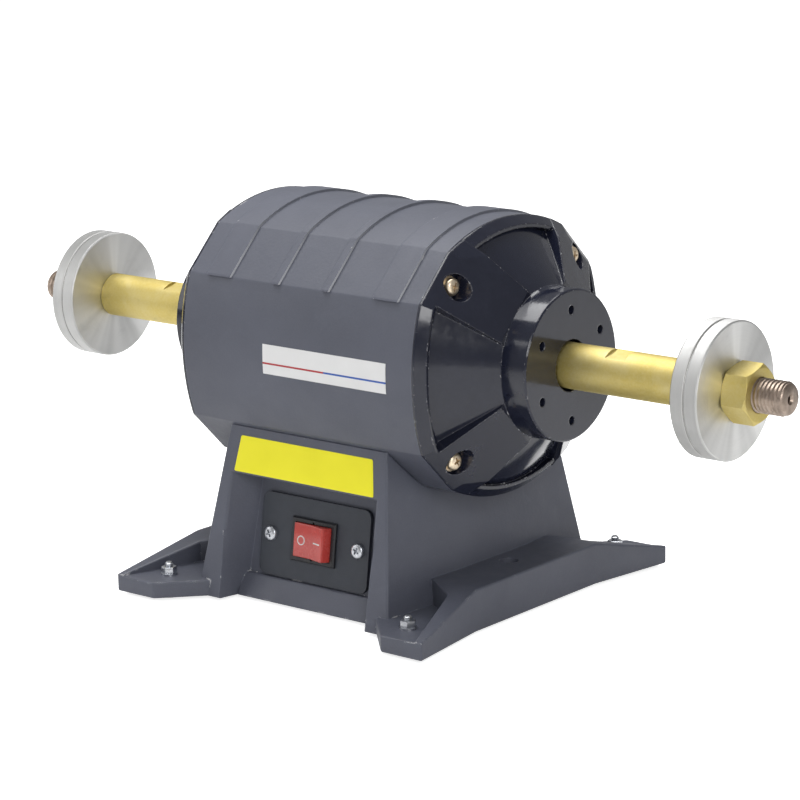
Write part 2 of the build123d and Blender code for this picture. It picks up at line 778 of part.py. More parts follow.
def side_flange_outline():
    """Raised middle of each flank; its ends slant from pedestal to rim."""
    spread = (SIDE_FLANGE_OUTER_Y - SIDE_FLANGE_INNER_Y) / (FLANK_X - PEDESTAL_FOOT_X)
    far_x = FOOT_TIP_X
    far_y = SIDE_FLANGE_INNER_Y + spread * (far_x - PEDESTAL_FOOT_X)
    inner_y = SIDE_FLANGE_INNER_Y
    band = eight_points(PEDESTAL_FOOT_X, inner_y, far_x, far_y)
    return band & footprint()


def below_rim_line():
    """Space under the rims' top line, level along the flanks and falling to the foot tips."""
    profile = Polygon(
        (FOOT_TIP_Y, RIM_GAP),
        (FOOT_TIP_Y, TIP_TOP),
        (FLANK_Y, SIDE_FLANGE_TOP),
        (-FLANK_Y, SIDE_FLANGE_TOP),
        (-FOOT_TIP_Y, TIP_TOP),
        (-FOOT_TIP_Y, RIM_GAP),
        align=None,
    )
    return extrude(Plane.YZ * profile, BIG, both=True)


def outer_rims():
    """Walls along the flanks, thinner towards the foot tips."""
    outer = [(FOOT_TIP_X, -FOOT_TIP_Y), (FLANK_X, -FLANK_Y), (FLANK_X, FLANK_Y), (FOOT_TIP_X, FOOT_TIP_Y)]
    inner = [
        (FOOT_TIP_X - RIM_TIP_WALL, FOOT_TIP_Y),
        (FLANK_X - RIM_WALL, FLANK_Y),
        (FLANK_X - RIM_WALL, -FLANK_Y),
        (FOOT_TIP_X - RIM_TIP_WALL, -FOOT_TIP_Y),
    ]
    wall = slab(Polygon(*outer, *inner, align=None), RIM_GAP, SIDE_FLANGE_TOP)
    return wall + other_side(wall)


def flange_hollow():
    """Space under the pads and the side flanges, clear of the pedestal."""
    low_space = slab(offset(footprint(), -WALL, kind=Kind.INTERSECTION), RIM_GAP, PAD_UNDERSIDE)
    raised = offset(side_flange_outline(), -WALL, kind=Kind.INTERSECTION)
    low_space += slab(raised, RIM_GAP, SIDE_FLANGE_TOP - PAD_THICKNESS)
    return low_space - pedestal()


def gland_frame():
    """Plane on the pedestal's back wall, looking outwards."""
    y = PEDESTAL_TOP_Y + (PEDESTAL_TOP - GLAND_Z) * tan(radians(PEDESTAL_LEAN))
    outwards = (0, cos(radians(PEDESTAL_LEAN)), sin(radians(PEDESTAL_LEAN)))
    return Plane(origin=(GLAND_X, y, GLAND_Z), x_dir=(-1, 0, 0), z_dir=outwards)


def base():
    """Hollow casting: pedestal, saddle, feet, flanges and rims."""
    body = slab(footprint(), RIM_GAP, PAD_TOP)
    raised = slab(side_flange_outline(), RIM_GAP, SIDE_FLANGE_TOP) + outer_rims()
    body += raised & below_rim_line()
    body -= flange_hollow()
    body += pedestal()
    body -= switch_recess()
    body += sill() & pedestal()
    body -= base_cavity(WALL)
    cover_top = RIM_GAP + COVER_GAP + COVER_THICKNESS
    for x, y in four_corners(COVER_SCREW_X, COVER_SCREW_Y):
        boss = post(x, y, cover_top, cover_top + COVER_BOSS_HEIGHT, COVER_BOSS_RADIUS)
        body += boss & pedestal()
        body -= post(x, y, cover_top, cover_top + COVER_SCREW_BITE, COVER_SCREW_RADIUS)
    for x, y in four_corners(HOUSING_BOLT_X, HOUSING_BOLT_Y):
        body += post(x, y, housing_bolt_seat(), SHAFT_HEIGHT - HOUSING_BORE, HOUSING_BOSS_RADIUS)
    body += post(0, CLAMP_SCREW_Y, CLAMP_SEAT, SHAFT_HEIGHT - FACET_HIGH_Z, CLAMP_BOSS_RADIUS)
    body -= motor_prism(-SEAM, SEAM)
    for x, y in four_corners(HOUSING_BOLT_X, HOUSING_BOLT_Y):
        body -= post(x, y, RIM_GAP, SHAFT_HEIGHT, HOUSING_BOLT_RADIUS)
    body -= post(0, CLAMP_SCREW_Y, CLAMP_SEAT, CLAMP_SEAT + CLAMP_SCREW_BITE, CLAMP_SCREW_RADIUS)
    for side in (-1, 1):
        x = side * BENCH_HOLE_X
        body += post(x, 0, RIM_GAP, SIDE_FLANGE_TOP, BENCH_BOSS_RADIUS)
        body -= post(x, 0, RIM_GAP, SIDE_FLANGE_TOP, BENCH_HOLE_RADIUS)
    for x, y in four_corners(FOOT_X, FOOT_Y):
        body -= post(x, y, RIM_GAP, PAD_UNDERSIDE, RUBBER_RADIUS + RUBBER_CLEARANCE)
        body -= post(x, y, RIM_GAP, PAD_TOP, FOOT_SCREW_RADIUS)
    window = Rectangle(SWITCH_WIDTH, SWITCH_HEIGHT)
    body -= extrude(PLATE_FRAME * window, -SWITCH_DEPTH)
    for side in (-1, 1):
        hole = Pos(side * PLATE_SCREW_X, 0) * Circle(PLATE_SCREW_RADIUS)
        body -= extrude(PLATE_FRAME * hole, -PLATE_SCREW_LENGTH)
    body -= extrude(gland_frame() * Circle(GLAND_THREAD_RADIUS), WALL, both=True)
    return body


# Feet

def rubber_feet():
    """Four rubber feet; each screw's head is sunk in its underside."""
    solids = []
    for x, y in four_corners(FOOT_X, FOOT_Y):
        foot = post(x, y, 0, PAD_UNDERSIDE, RUBBER_RADIUS)
        foot -= post(x, y, 0, FOOT_SCREW_SUNK + FOOT_SCREW_HEAD, FOOT_SCREW_HEAD_RADIUS)
        solids.append(foot - post(x, y, 0, PAD_UNDERSIDE, FOOT_SCREW_RADIUS))
    return group(solids)


def foot_screws():
    """Screws that stand up through the pads."""
    neck = FOOT_SCREW_SUNK + FOOT_SCREW_HEAD
    solids = []
    for x, y in four_corners(FOOT_X, FOOT_Y):
        head = post(x, y, FOOT_SCREW_SUNK, neck, FOOT_SCREW_HEAD_RADIUS)
        solids.append(head + post(x, y, neck, PAD_TOP + FOOT_SCREW_PROUD, FOOT_SCREW_RADIUS))
    return group(solids)


def foot_washers():
    """Washers on top of the pads."""
    solids = []
    for x, y in four_corners(FOOT_X, FOOT_Y):
        washer = post(x, y, PAD_TOP, PAD_TOP + FOOT_WASHER, FOOT_WASHER_RADIUS)
        solids.append(washer - post(x, y, PAD_TOP, PAD_TOP + FOOT_WASHER, FOOT_SCREW_RADIUS))
    return group(solids)


def foot_nuts():
    """Nuts on the foot screws."""
    low = PAD_TOP + FOOT_WASHER
    high = low + FOOT_NUT_HEIGHT
    solids = []
    for x, y in four_corners(FOOT_X, FOOT_Y):
        nut = upright_hex(x, y, low, high, FOOT_NUT_ACROSS)
        solids.append(nut - post(x, y, low, high, FOOT_SCREW_RADIUS))
    return group(solids)


# Switch

def switch_plate():
    """Plate with rounded corners and a window for the switch."""
    face = RectangleRounded(PLATE_WIDTH, PLATE_HEIGHT, PLATE_ROUND)
    face -= Rectangle(SWITCH_WIDTH, SWITCH_HEIGHT)
    for side in (-1, 1):
        face -= Pos(side * PLATE_SCREW_X, 0) * Circle(PLATE_SCREW_RADIUS)
    return extrude(PLATE_FRAME * face, -PLATE_THICKNESS)


def switch_plate_screws():
    """Two pan-head screws of the switch plate."""
    solids = []
    for side in (-1, 1):
        place = Pos(side * PLATE_SCREW_X, 0)
        head = extrude(place * Circle(PLATE_SCREW_HEAD_RADIUS), PLATE_SCREW_HEAD)
        head = chamfer(head.edges().sort_by(Axis.Z)[-1], PLATE_SCREW_HEAD / 2)
        shank = extrude(place * Circle(PLATE_SCREW_RADIUS), -PLATE_SCREW_LENGTH)
        solids.append(PLATE_FRAME * (head + shank))
    return group(solids)


def pivot_line(half, radius):
    """Round bar along the rocker's pivot, as long on both sides of the middle."""
    section = Plane.XZ * (Pos(0, ROCKER_PIVOT) * Circle(radius))
    return extrude(section, half, both=True)


def switch_body():
    """Case of the rocker switch with its bezel, hollowed for the rocker's swing."""
    bezel = extrude(Rectangle(BEZEL_WIDTH, BEZEL_HEIGHT), BEZEL_PROUD)
    bezel = chamfer(bezel.faces().sort_by(Axis.Z)[-1].edges(), BEZEL_EDGE)
    body = bezel + extrude(Rectangle(SWITCH_WIDTH, SWITCH_HEIGHT), -SWITCH_DEPTH)
    body -= pivot_line(ROCKER_HEIGHT / 2 + ROCKER_CLEARANCE, ROCKER_RADIUS + ROCKER_CLEARANCE)
    pin_reach = ROCKER_HEIGHT / 2 + PIVOT_LENGTH + ROCKER_CLEARANCE
    body -= pivot_line(pin_reach, PIVOT_RADIUS + PIVOT_CLEARANCE)
    return PLATE_FRAME * body


def switch_rocker():
    """Rocker with a shallow V face, tipped to its rest side, on two pivot pins."""
    body = pivot_line(ROCKER_HEIGHT / 2, ROCKER_RADIUS)
    rise = ROCKER_RADIUS * tan(radians(ROCKER_THROW))
    middle = ROCKER_PIVOT + ROCKER_FACE
    keep = Polygon(
        (-ROCKER_RADIUS, ROCKER_PIVOT - ROCKER_RADIUS / 2),
        (ROCKER_RADIUS, ROCKER_PIVOT - ROCKER_RADIUS / 2),
        (ROCKER_RADIUS, middle + rise),
        (0, middle),
        (-ROCKER_RADIUS, middle + rise),
        align=None,
    )
    body &= extrude(Plane.XZ * keep, ROCKER_HEIGHT, both=True)
    body += pivot_line(ROCKER_HEIGHT / 2 + PIVOT_LENGTH, PIVOT_RADIUS)
    line = Axis((0, 0, ROCKER_PIVOT), (0, 1, 0))
    return PLATE_FRAME * body.rotate(line, -ROCKER_THROW)


def switch_terminals():
    """Spade terminals on the back of the switch."""
    solids = []
    for x, y in four_corners(TERMINAL_X, TERMINAL_Y):
        blade = extrude(Pos(x, y) * Rectangle(TERMINAL_THICKNESS, TERMINAL_WIDTH), -TERMINAL_LENGTH)
        solids.append(PLATE_FRAME * (Pos(0, 0, -SWITCH_DEPTH) * blade))
    return group(solids)


# Inside the base

def capacitor():
    """Running capacitor, a can lying along X."""
    half = CAPACITOR_LENGTH / 2
    drop = CAPACITOR_Z - SHAFT_HEIGHT
    can = rod(-half, half, CAPACITOR_RADIUS, CAPACITOR_Y, drop)
    return chamfer(can.edges().filter_by(GeomType.CIRCLE), CAPACITOR_EDGE)


def capacitor_clamp():
    """Band round the capacitor with a tab under its boss."""
    half = CLAMP_WIDTH / 2
    drop = CAPACITOR_Z - SHAFT_HEIGHT
    band = rod(-half, half, CAPACITOR_RADIUS + CLAMP_WALL, CAPACITOR_Y, drop)
    tab_end = CLAMP_SCREW_Y + CLAMP_BOSS_RADIUS
    tab = Pos(0, (CAPACITOR_Y + tab_end) / 2, CLAMP_SEAT - CLAMP_TAB / 2) * Box(
        CLAMP_WIDTH, tab_end - CAPACITOR_Y, CLAMP_TAB
    )
    body = band + tab
    body -= rod(-half, half, CAPACITOR_RADIUS, CAPACITOR_Y, drop)
    return body - post(0, CLAMP_SCREW_Y, CLAMP_SEAT - CLAMP_TAB, CLAMP_SEAT, CLAMP_SCREW_RADIUS)


def clamp_screw():
    """Screw that holds the clamp's tab to its boss."""
    seat = CLAMP_SEAT - CLAMP_TAB
    head = post(0, CLAMP_SCREW_Y, seat - CLAMP_SCREW_HEAD, seat, CLAMP_SCREW_HEAD_RADIUS)
    return head + post(0, CLAMP_SCREW_Y, seat, CLAMP_SEAT + CLAMP_SCREW_BITE, CLAMP_SCREW_RADIUS)


def bottom_cover():
    """Sheet that closes the base from below."""
    low = RIM_GAP + COVER_GAP
    sheet = base_cavity(WALL + COVER_FIT) & slab(Rectangle(BIG, BIG), low, low + COVER_THICKNESS)
    for x, y in four_corners(COVER_SCREW_X, COVER_SCREW_Y):
        sheet -= post(x, y, low, low + COVER_THICKNESS, COVER_SCREW_RADIUS)
    return sheet


def bottom_cover_screws():
    """Four pan-head screws of the bottom cover."""
    low = RIM_GAP + COVER_GAP
    tip = low + COVER_THICKNESS + COVER_SCREW_BITE
    solids = []
    for x, y in four_corners(COVER_SCREW_X, COVER_SCREW_Y):
        head = post(x, y, low - COVER_SCREW_HEAD, low, COVER_SCREW_HEAD_RADIUS)
        solids.append(head + post(x, y, low, tip, COVER_SCREW_RADIUS))
    return group(solids)


# Cable gland

def cable_gland():
    """Gland body: thread through the wall, hexagon collar and a neck outside."""
    body = extrude(Circle(GLAND_THREAD_RADIUS), -(WALL + GLAND_LOCK_NUT + 1))
    body += extrude(hexagon(GLAND_ACROSS), GLAND_COLLAR)
    body += extrude(Circle(GLAND_THREAD_RADIUS), GLAND_COLLAR + GLAND_NECK)
    return gland_frame() * (body - extrude(Circle(GLAND_BORE), BIG, both=True))


def gland_cap():
    """Domed cap screwed over the gland's neck."""
    cap = extrude(Circle(GLAND_CAP_RADIUS), GLAND_CAP_LENGTH)
    cap = fillet(cap.edges().sort_by(Axis.Z)[-1], GLAND_CAP_RADIUS - GLAND_THREAD_RADIUS)
    cap -= extrude(Circle(GLAND_THREAD_RADIUS), GLAND_NECK)
    cap -= extrude(Circle(GLAND_BORE), GLAND_CAP_LENGTH)
    return gland_frame() * (Pos(0, 0, GLAND_COLLAR) * cap)


def gland_lock_nut():
    """Nut on the gland's thread, against the inside of the wall."""
    nut = extrude(hexagon(GLAND_ACROSS) - Circle(GLAND_THREAD_RADIUS), -GLAND_LOCK_NUT)
    inside = -WALL * cos(radians(PEDESTAL_LEAN))
    return gland_frame() * (Pos(0, 0, inside) * nut)


# Every piece under its name

right_bell = end_bell(BEARING_END + WAVE_WASHER)
left_bell = other_side(end_bell(BEARING_END))
inner_flange = clamp_flange(FLANGE_START, FLANGE_MEET)
outer_flange = clamp_flange(NUT_START, FLANGE_MEET)

pieces = {
    "base": base(),
    "rubber_feet": rubber_feet(),
    "foot_screws": foot_screws(),
    "foot_washers": foot_washers(),
    "foot_nuts": foot_nuts(),
    "bottom_cover": bottom_cover(),
    "bottom_cover_screws": bottom_cover_screws(),
    "motor_housing": motor_housing(),
    "housing_bolts": housing_bolts(),
    "end_bell_left": left_bell,
    "end_bell_right": right_bell,
    "bell_screws_left": other_side(bell_screws()),
    "bell_screws_right": bell_screws(),
    "bearing_outer_ring_left": other_side(bearing_outer_ring()),
    "bearing_outer_ring_right": bearing_outer_ring(),
    "bearing_inner_ring_left": other_side(bearing_inner_ring()),
    "bearing_inner_ring_right": bearing_inner_ring(),
    "bearing_balls_left": other_side(bearing_balls()),
    "bearing_balls_right": bearing_balls(),
    "wave_washer": wave_washer(),
    "shaft": shaft(),
    "rotor_core": rotor_core(),
    "rotor_cage": rotor_cage(),
    "stator_core": stator_core(),
    "stator_winding": stator_winding(),
    "sleeve_left": other_side(sleeve()),
    "sleeve_right": sleeve(),
    "inner_flange_left": other_side(inner_flange),
    "inner_flange_right": inner_flange,
    "outer_flange_left": other_side(outer_flange),
    "outer_flange_right": outer_flange,
    "spindle_nut_left": other_side(spindle_nut()),
    "spindle_nut_right": spindle_nut(),
    "switch_plate": switch_plate(),
    "switch_plate_screws": switch_plate_screws(),
    "switch_body": switch_body(),
    "switch_rocker": switch_rocker(),
    "switch_terminals": switch_terminals(),
    "capacitor": capacitor(),
    "capacitor_clamp": capacitor_clamp(),
    "clamp_screw": clamp_screw(),
    "cable_gland": cable_gland(),
    "gland_cap": gland_cap(),
    "gland_lock_nut": gland_lock_nut(),
}

os.makedirs("parts", exist_ok=True)
for name, piece in pieces.items():
    export_step(piece, f"parts/{name}.step")
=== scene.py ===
import math

import bmesh
import bpy
from bpy.props import FloatProperty, FloatVectorProperty, IntProperty, PointerProperty
from bpy.types import Operator, Panel, PropertyGroup
from mathutils import Matrix, Vector


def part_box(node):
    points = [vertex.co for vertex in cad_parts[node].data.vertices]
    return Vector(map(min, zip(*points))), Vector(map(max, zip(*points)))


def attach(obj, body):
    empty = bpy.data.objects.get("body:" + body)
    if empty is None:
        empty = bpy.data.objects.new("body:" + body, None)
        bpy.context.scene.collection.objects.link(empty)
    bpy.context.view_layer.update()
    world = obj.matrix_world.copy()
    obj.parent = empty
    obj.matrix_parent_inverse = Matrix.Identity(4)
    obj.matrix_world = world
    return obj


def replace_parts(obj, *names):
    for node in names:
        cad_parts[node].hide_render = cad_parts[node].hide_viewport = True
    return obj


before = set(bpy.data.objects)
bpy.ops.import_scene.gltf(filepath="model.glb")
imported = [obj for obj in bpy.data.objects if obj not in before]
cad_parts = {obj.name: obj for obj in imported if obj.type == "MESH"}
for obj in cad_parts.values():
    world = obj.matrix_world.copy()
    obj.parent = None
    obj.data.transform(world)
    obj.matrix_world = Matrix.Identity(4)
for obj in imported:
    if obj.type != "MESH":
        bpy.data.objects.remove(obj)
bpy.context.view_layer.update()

bl_info = {
    "name": "Bench Grinder Finishes",
    "version": (1, 0, 0),
    "blender": (4, 5, 0),
    "location": "3D View > Sidebar > Grinder",
    "description": "Paint, plating, fasteners, stickers and a stage for a double-ended bench grinder",
    "category": "Object",
}

MM = 0.001
SHAFT_LOW, SHAFT_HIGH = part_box("shaft")
NUT_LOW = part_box("spindle_nut_right")[0]
AXIS_HEIGHT = (SHAFT_LOW.z + SHAFT_HIGH.z) / 2
PLATE_LEAN = math.radians(7.9)
PLATE_MIDDLE = (0, -72.8 * MM, 40.7 * MM)
FULL_TURN = 2 * math.pi

# Copied castings: faces nearer than this are joined, and edges sharper than this are rounded.
FLAT_ANGLE = math.radians(1.5)
EDGE_ANGLE = math.radians(28.0)

# Pan heads: each step's share of the height and its size beside the step below.
HEAD_STEPS = ((0.45, 1.0), (0.25, 0.95), (0.18, 0.86), (0.12, 0.78))
WASHER_SPREAD = 1.2
WASHER_TAPER = 0.97

# Painted highlight on the flanks of the housing's ribs: height in metres and strength.
RIB_HIGHLIGHT_FADE = ((0.150, 0.0), (0.156, 1.0), (0.205, 0.75), (0.228, 0.12))


# Settings

class GrinderSizes(PropertyGroup):
    """Sizes of what is added to the solids."""

    thread_pitch: FloatProperty(
        name="Thread Pitch", description="Distance between spindle threads",
        default=2.5 * MM, unit="LENGTH", precision=5,
    )
    thread_crest: FloatProperty(
        name="Thread Crest", description="Radius over the spindle thread",
        default=9.8 * MM, unit="LENGTH", precision=5,
    )
    thread_root: FloatProperty(
        name="Thread Root", description="Radius at the bottom of the spindle thread",
        default=8.95 * MM, unit="LENGTH", precision=5,
    )
    casting_round: FloatProperty(
        name="Casting Round", description="Rounding of the base casting's edges",
        default=1.3 * MM, unit="LENGTH", precision=5,
    )
    sticker_thickness: FloatProperty(
        name="Sticker Thickness", description="Thickness of the two stickers",
        default=0.25 * MM, unit="LENGTH", precision=5,
    )
    sticker_corner: FloatProperty(
        name="Sticker Corner", description="Rounding of the stickers' corners",
        default=1.0 * MM, unit="LENGTH", precision=5,
    )
    turn_steps: IntProperty(
        name="Turn Steps", description="Steps round each turned piece", default=64, min=16, max=128,
    )


class GrinderColours(PropertyGroup):
    """Colours of the finishes, as linear values."""

    casting: FloatVectorProperty(
        name="Casting Paint", description="Grey paint of the base and the motor housing",
        default=(0.086, 0.092, 0.119), subtype="COLOR", min=0, max=1,
    )
    bell: FloatVectorProperty(
        name="Bell Enamel", description="Black enamel of the end bells",
        default=(0.012, 0.014, 0.027), subtype="COLOR", min=0, max=1,
    )
    zinc_yellow: FloatVectorProperty(
        name="Yellow Zinc", description="Plating of the sleeves and the spindle nuts",
        default=(0.62, 0.50, 0.16), subtype="COLOR", min=0, max=1,
    )
    aluminium: FloatVectorProperty(
        name="Aluminium", description="Turned aluminium of the flanges",
        default=(0.72, 0.72, 0.71), subtype="COLOR", min=0, max=1,
    )
    thread: FloatVectorProperty(
        name="Thread Steel", description="Oiled steel of the shaft",
        default=(0.36, 0.29, 0.24), subtype="COLOR", min=0, max=1,
    )
    zinc: FloatVectorProperty(
        name="Bright Zinc", description="Plating of the small fasteners",
        default=(0.68, 0.70, 0.74), subtype="COLOR", min=0, max=1,
    )
    panel: FloatVectorProperty(
        name="Switch Panel", description="Moulded switch plate",
        default=(0.031, 0.036, 0.048), subtype="COLOR", min=0, max=1,
    )
    rocker: FloatVectorProperty(
        name="Rocker", description="Red rocker of the switch",
        default=(0.50, 0.055, 0.045), subtype="COLOR", min=0, max=1,
    )
    band: FloatVectorProperty(
        name="Front Band", description="Plain sticker above the switch",
        default=(0.93, 0.86, 0.022), subtype="COLOR", min=0, max=1,
    )
    plain_white: FloatVectorProperty(
        name="White Sticker", description="Plain sticker on the motor housing",
        default=(0.80, 0.80, 0.80), subtype="COLOR", min=0, max=1,
    )


class GrinderStage(PropertyGroup):
    """Camera and light."""

    target: FloatVectorProperty(
        name="Target", description="Point that the camera looks at",
        default=(0.00472, 0.00209, 0.11137), subtype="TRANSLATION",
    )
    azimuth: FloatProperty(
        name="Azimuth", description="Camera's turn about the machine",
        default=math.radians(39.18), subtype="ANGLE",
    )
    elevation: FloatProperty(
        name="Elevation", description="Camera's height above the horizon",
        default=math.radians(13.43), subtype="ANGLE",
    )
    roll: FloatProperty(
        name="Roll", description="Camera's turn about its own line of sight",
        default=math.radians(-0.97), subtype="ANGLE",
    )
    distance: FloatProperty(
        name="Distance", description="From the target to the camera",
        default=1.89945, unit="LENGTH",
    )
    lens: FloatProperty(
        name="Lens", description="Focal length in millimetres", default=144.3,
    )
    key_power: FloatProperty(
        name="Key", description="Overhead soft light", default=24.0, unit="POWER",
    )
    fill_power: FloatProperty(
        name="Fill", description="Soft light from the front left", default=5.0, unit="POWER",
    )
    side_power: FloatProperty(
        name="Side", description="Soft light from the right", default=12.0, unit="POWER",
    )
    room: FloatProperty(
        name="Room", description="Strength of the even light all round", default=0.29,
    )


def sizes():
    return bpy.context.scene.grinder_sizes


def colours():
    return bpy.context.scene.grinder_colours


# Finishes

class Finish:
    """A material being put together, with short words for its common nodes."""

    def __init__(self, name):
        self.material = bpy.data.materials.new(name)
        self.material.use_nodes = True
        self.tree = self.material.node_tree
        self.shader = self.tree.nodes["Principled BSDF"]
        self.place = self.add("ShaderNodeTexCoord").outputs["Object"]

    def add(self, kind, **settings):
        made = self.tree.nodes.new(kind)
        for key, value in settings.items():
            setattr(made, key, value)
        return made

    def join(self, source, socket):
        self.tree.links.new(source, socket)

    def feed(self, socket, value):
        """Link an output to a socket, or set the socket to a plain value."""
        if isinstance(value, bpy.types.NodeSocket):
            self.join(value, socket)
        else:
            socket.default_value = value

    def set(self, **values):
        """Constants on the shader's own sockets."""
        for key, value in values.items():
            self.shader.inputs[key.replace("_", " ")].default_value = value
        return self

    def to(self, name, source):
        """Link an output to one of the shader's own sockets."""
        self.join(source, self.shader.inputs[name])

    def mapped(self, scale=(1, 1, 1), location=(0, 0, 0)):
        """Object coordinates, scaled and shifted."""
        mapping = self.add("ShaderNodeMapping")
        mapping.inputs["Scale"].default_value = scale
        mapping.inputs["Location"].default_value = location
        self.join(self.place, mapping.inputs["Vector"])
        return mapping.outputs["Vector"]

    def noise(self, scale, detail=3.0, roughness=0.5, vector=None, distortion=0.0):
        made = self.add("ShaderNodeTexNoise")
        made.inputs["Scale"].default_value = scale
        made.inputs["Detail"].default_value = detail
        made.inputs["Roughness"].default_value = roughness
        made.inputs["Distortion"].default_value = distortion
        self.join(vector or self.place, made.inputs["Vector"])
        return made.outputs["Fac"]

    def ramp(self, source, *stops):
        """Grey or coloured ramp from (place, value) stops."""
        made = self.add("ShaderNodeValToRGB")
        elements = made.color_ramp.elements
        while len(elements) < len(stops):
            elements.new(0.5)
        for element, (place, value) in zip(elements, stops):
            element.position = place
            tint = (value,) * 3 if isinstance(value, (int, float)) else tuple(value)[:3]
            element.color = tint + (1.0,)
        self.join(source, made.inputs["Fac"])
        return made.outputs["Color"]

    def math(self, operation, first, second=0.0):
        made = self.add("ShaderNodeMath", operation=operation)
        self.feed(made.inputs[0], first)
        self.feed(made.inputs[1], second)
        return made.outputs["Value"]

    def split(self, vector=None):
        made = self.add("ShaderNodeSeparateXYZ")
        self.join(vector or self.place, made.inputs["Vector"])
        return made.outputs

    def mix(self, factor, first, second):
        made = self.add("ShaderNodeMix", data_type="RGBA")
        self.feed(made.inputs["Factor"], factor)
        for socket, value in ((made.inputs[6], first), (made.inputs[7], second)):
            if not isinstance(value, bpy.types.NodeSocket):
                value = tuple(value)[:3] + (1.0,)
            self.feed(socket, value)
        return made.outputs[2]

    def bump(self, height, strength, distance, normal=None):
        made = self.add("ShaderNodeBump")
        made.inputs["Strength"].default_value = strength
        made.inputs["Distance"].default_value = distance
        self.join(height, made.inputs["Height"])
        if normal is not None:
            self.join(normal, made.inputs["Normal"])
        return made.outputs["Normal"]

    def part(self, factor, amount):
        """A mask weakened by a number or by another mask."""
        return self.math("MULTIPLY", factor, amount)

    def soft(self, radius):
        """Normal that rounds the edges."""
        made = self.add("ShaderNodeBevel", samples=6)
        made.inputs["Radius"].default_value = radius
        return made.outputs["Normal"]

    def worn(self, soft):
        """Zero on flat ground and rising towards the edges that a soft normal rounds."""
        flat = self.add("ShaderNodeNewGeometry")
        dot = self.add("ShaderNodeVectorMath", operation="DOT_PRODUCT")
        self.join(soft, dot.inputs[0])
        self.join(flat.outputs["Normal"], dot.inputs[1])
        return self.math("SUBTRACT", 1.0, dot.outputs["Value"])


def shade(colour, factor):
    return tuple(min(1.0, channel * factor) for channel in tuple(colour)[:3])


def chips(made, worn, scale, amount, lift=None):
    """Mask of small chips on worn edges; a lift makes them denser where it is high."""
    grain = made.noise(scale, 5.0, 0.7)
    if lift is not None:
        grain = made.math("ADD", grain, lift)
    spots = made.ramp(grain, (amount, 0.0), (amount + 0.04, 1.0))
    return made.part(spots, made.ramp(worn, (0.02, 0.0), (0.10, 1.0)))


def casting_paint():
    """Grey satin paint with dust in it, a painted highlight on the ribs' flanks, lighter rubbed edges
    that are partly a painted highlight, and chips along the edges.
    """
    base = colours().casting
    made = Finish("casting_paint").set(Specular_IOR_Level=0.45)
    cloud = made.noise(14.0, 4.0, 0.6)
    patches = made.ramp(cloud, (0.3, shade(base, 0.88)), (0.7, shade(base, 1.12)))
    specks = made.ramp(made.noise(1600.0, 2.0, 0.6), (0.35, 0.0), (0.72, 1.0))
    tone = made.mix(made.part(specks, 0.22), patches, shade(base, 1.5))
    streaks = made.noise(1.0, 5.0, 0.7, made.mapped((22.0, 60.0, 60.0)), 0.8)
    scuffs = made.ramp(streaks, (0.60, 0.0), (0.78, 1.0))
    tone = made.mix(made.part(scuffs, 0.16), tone, shade(base, 2.0))
    worn = made.worn(made.soft(1.6 * MM))
    # Lighter paint along the edges: partly rubbed paint, partly a painted highlight on the edges.
    rub = made.ramp(made.noise(130.0, 5.0, 0.65), (0.35, 0.0), (0.72, 1.0))
    rub = made.part(rub, made.ramp(worn, (0.01, 0.0), (0.22, 1.0)))
    tone = made.mix(made.part(rub, 0.42), tone, shade(base, 2.4))
    height = made.split()["Z"]
    # Painted highlight: a light tone on the flanks of the ribs, fading with height.
    facing = made.split(made.add("ShaderNodeNewGeometry").outputs["True Normal"])["X"]
    rib_highlight = made.math("GREATER_THAN", made.math("ABSOLUTE", facing), 0.7)
    tone = made.mix(made.part(rib_highlight, made.ramp(height, *RIB_HIGHLIGHT_FADE)), tone, (0.62, 0.63, 0.66))
    low = made.ramp(height, (0.0, 0.09), (0.03, 0.0))
    bare = chips(made, worn, 110.0, 0.625, low)
    made.to("Base Color", made.mix(bare, tone, (0.60, 0.60, 0.61)))
    made.to("Roughness", made.ramp(made.noise(60.0, 4.0, 0.6), (0.3, 0.40), (0.7, 0.54)))
    peel = made.bump(made.noise(520.0, 2.0, 0.5), 0.16, 0.5 * MM, made.soft(0.6 * MM))
    made.to("Normal", made.bump(made.noise(60.0, 3.0, 0.5), 0.10, 1.0 * MM, peel))
    return made.material


def bell_enamel():
    """Gloss black enamel with a film of dust, hairline rubs and nicked edges."""
    base = colours().bell
    made = Finish("bell_enamel").set(Specular_IOR_Level=0.45, Coat_Weight=0.25, Coat_Roughness=0.06)
    dust = made.ramp(made.noise(38.0, 6.0, 0.68), (0.45, 0.0), (0.85, 1.0))
    soft = made.soft(1.2 * MM)
    worn = made.worn(soft)
    tone = made.mix(made.part(dust, 0.4), base, (0.034, 0.038, 0.060))
    grit = made.ramp(made.noise(900.0, 3.0, 0.7), (0.70, 0.0), (0.78, 1.0))
    tone = made.mix(made.part(grit, made.part(dust, 0.5)), tone, (0.22, 0.22, 0.24))
    rub = made.part(worn, made.noise(240.0, 4.0, 0.6))
    rub = made.ramp(rub, (0.05, 0.0), (0.3, 1.0))
    tone = made.mix(made.part(rub, 0.4), tone, (0.13, 0.13, 0.15))
    nicks = chips(made, worn, 420.0, 0.585)
    made.to("Base Color", made.mix(nicks, tone, (0.50, 0.50, 0.52)))
    made.to("Roughness", made.ramp(made.noise(70.0, 5.0, 0.65), (0.3, 0.08), (0.75, 0.22)))
    made.to("Normal", made.bump(made.noise(170.0, 2.0, 0.5), 0.10, 0.6 * MM, soft))
    return made.material


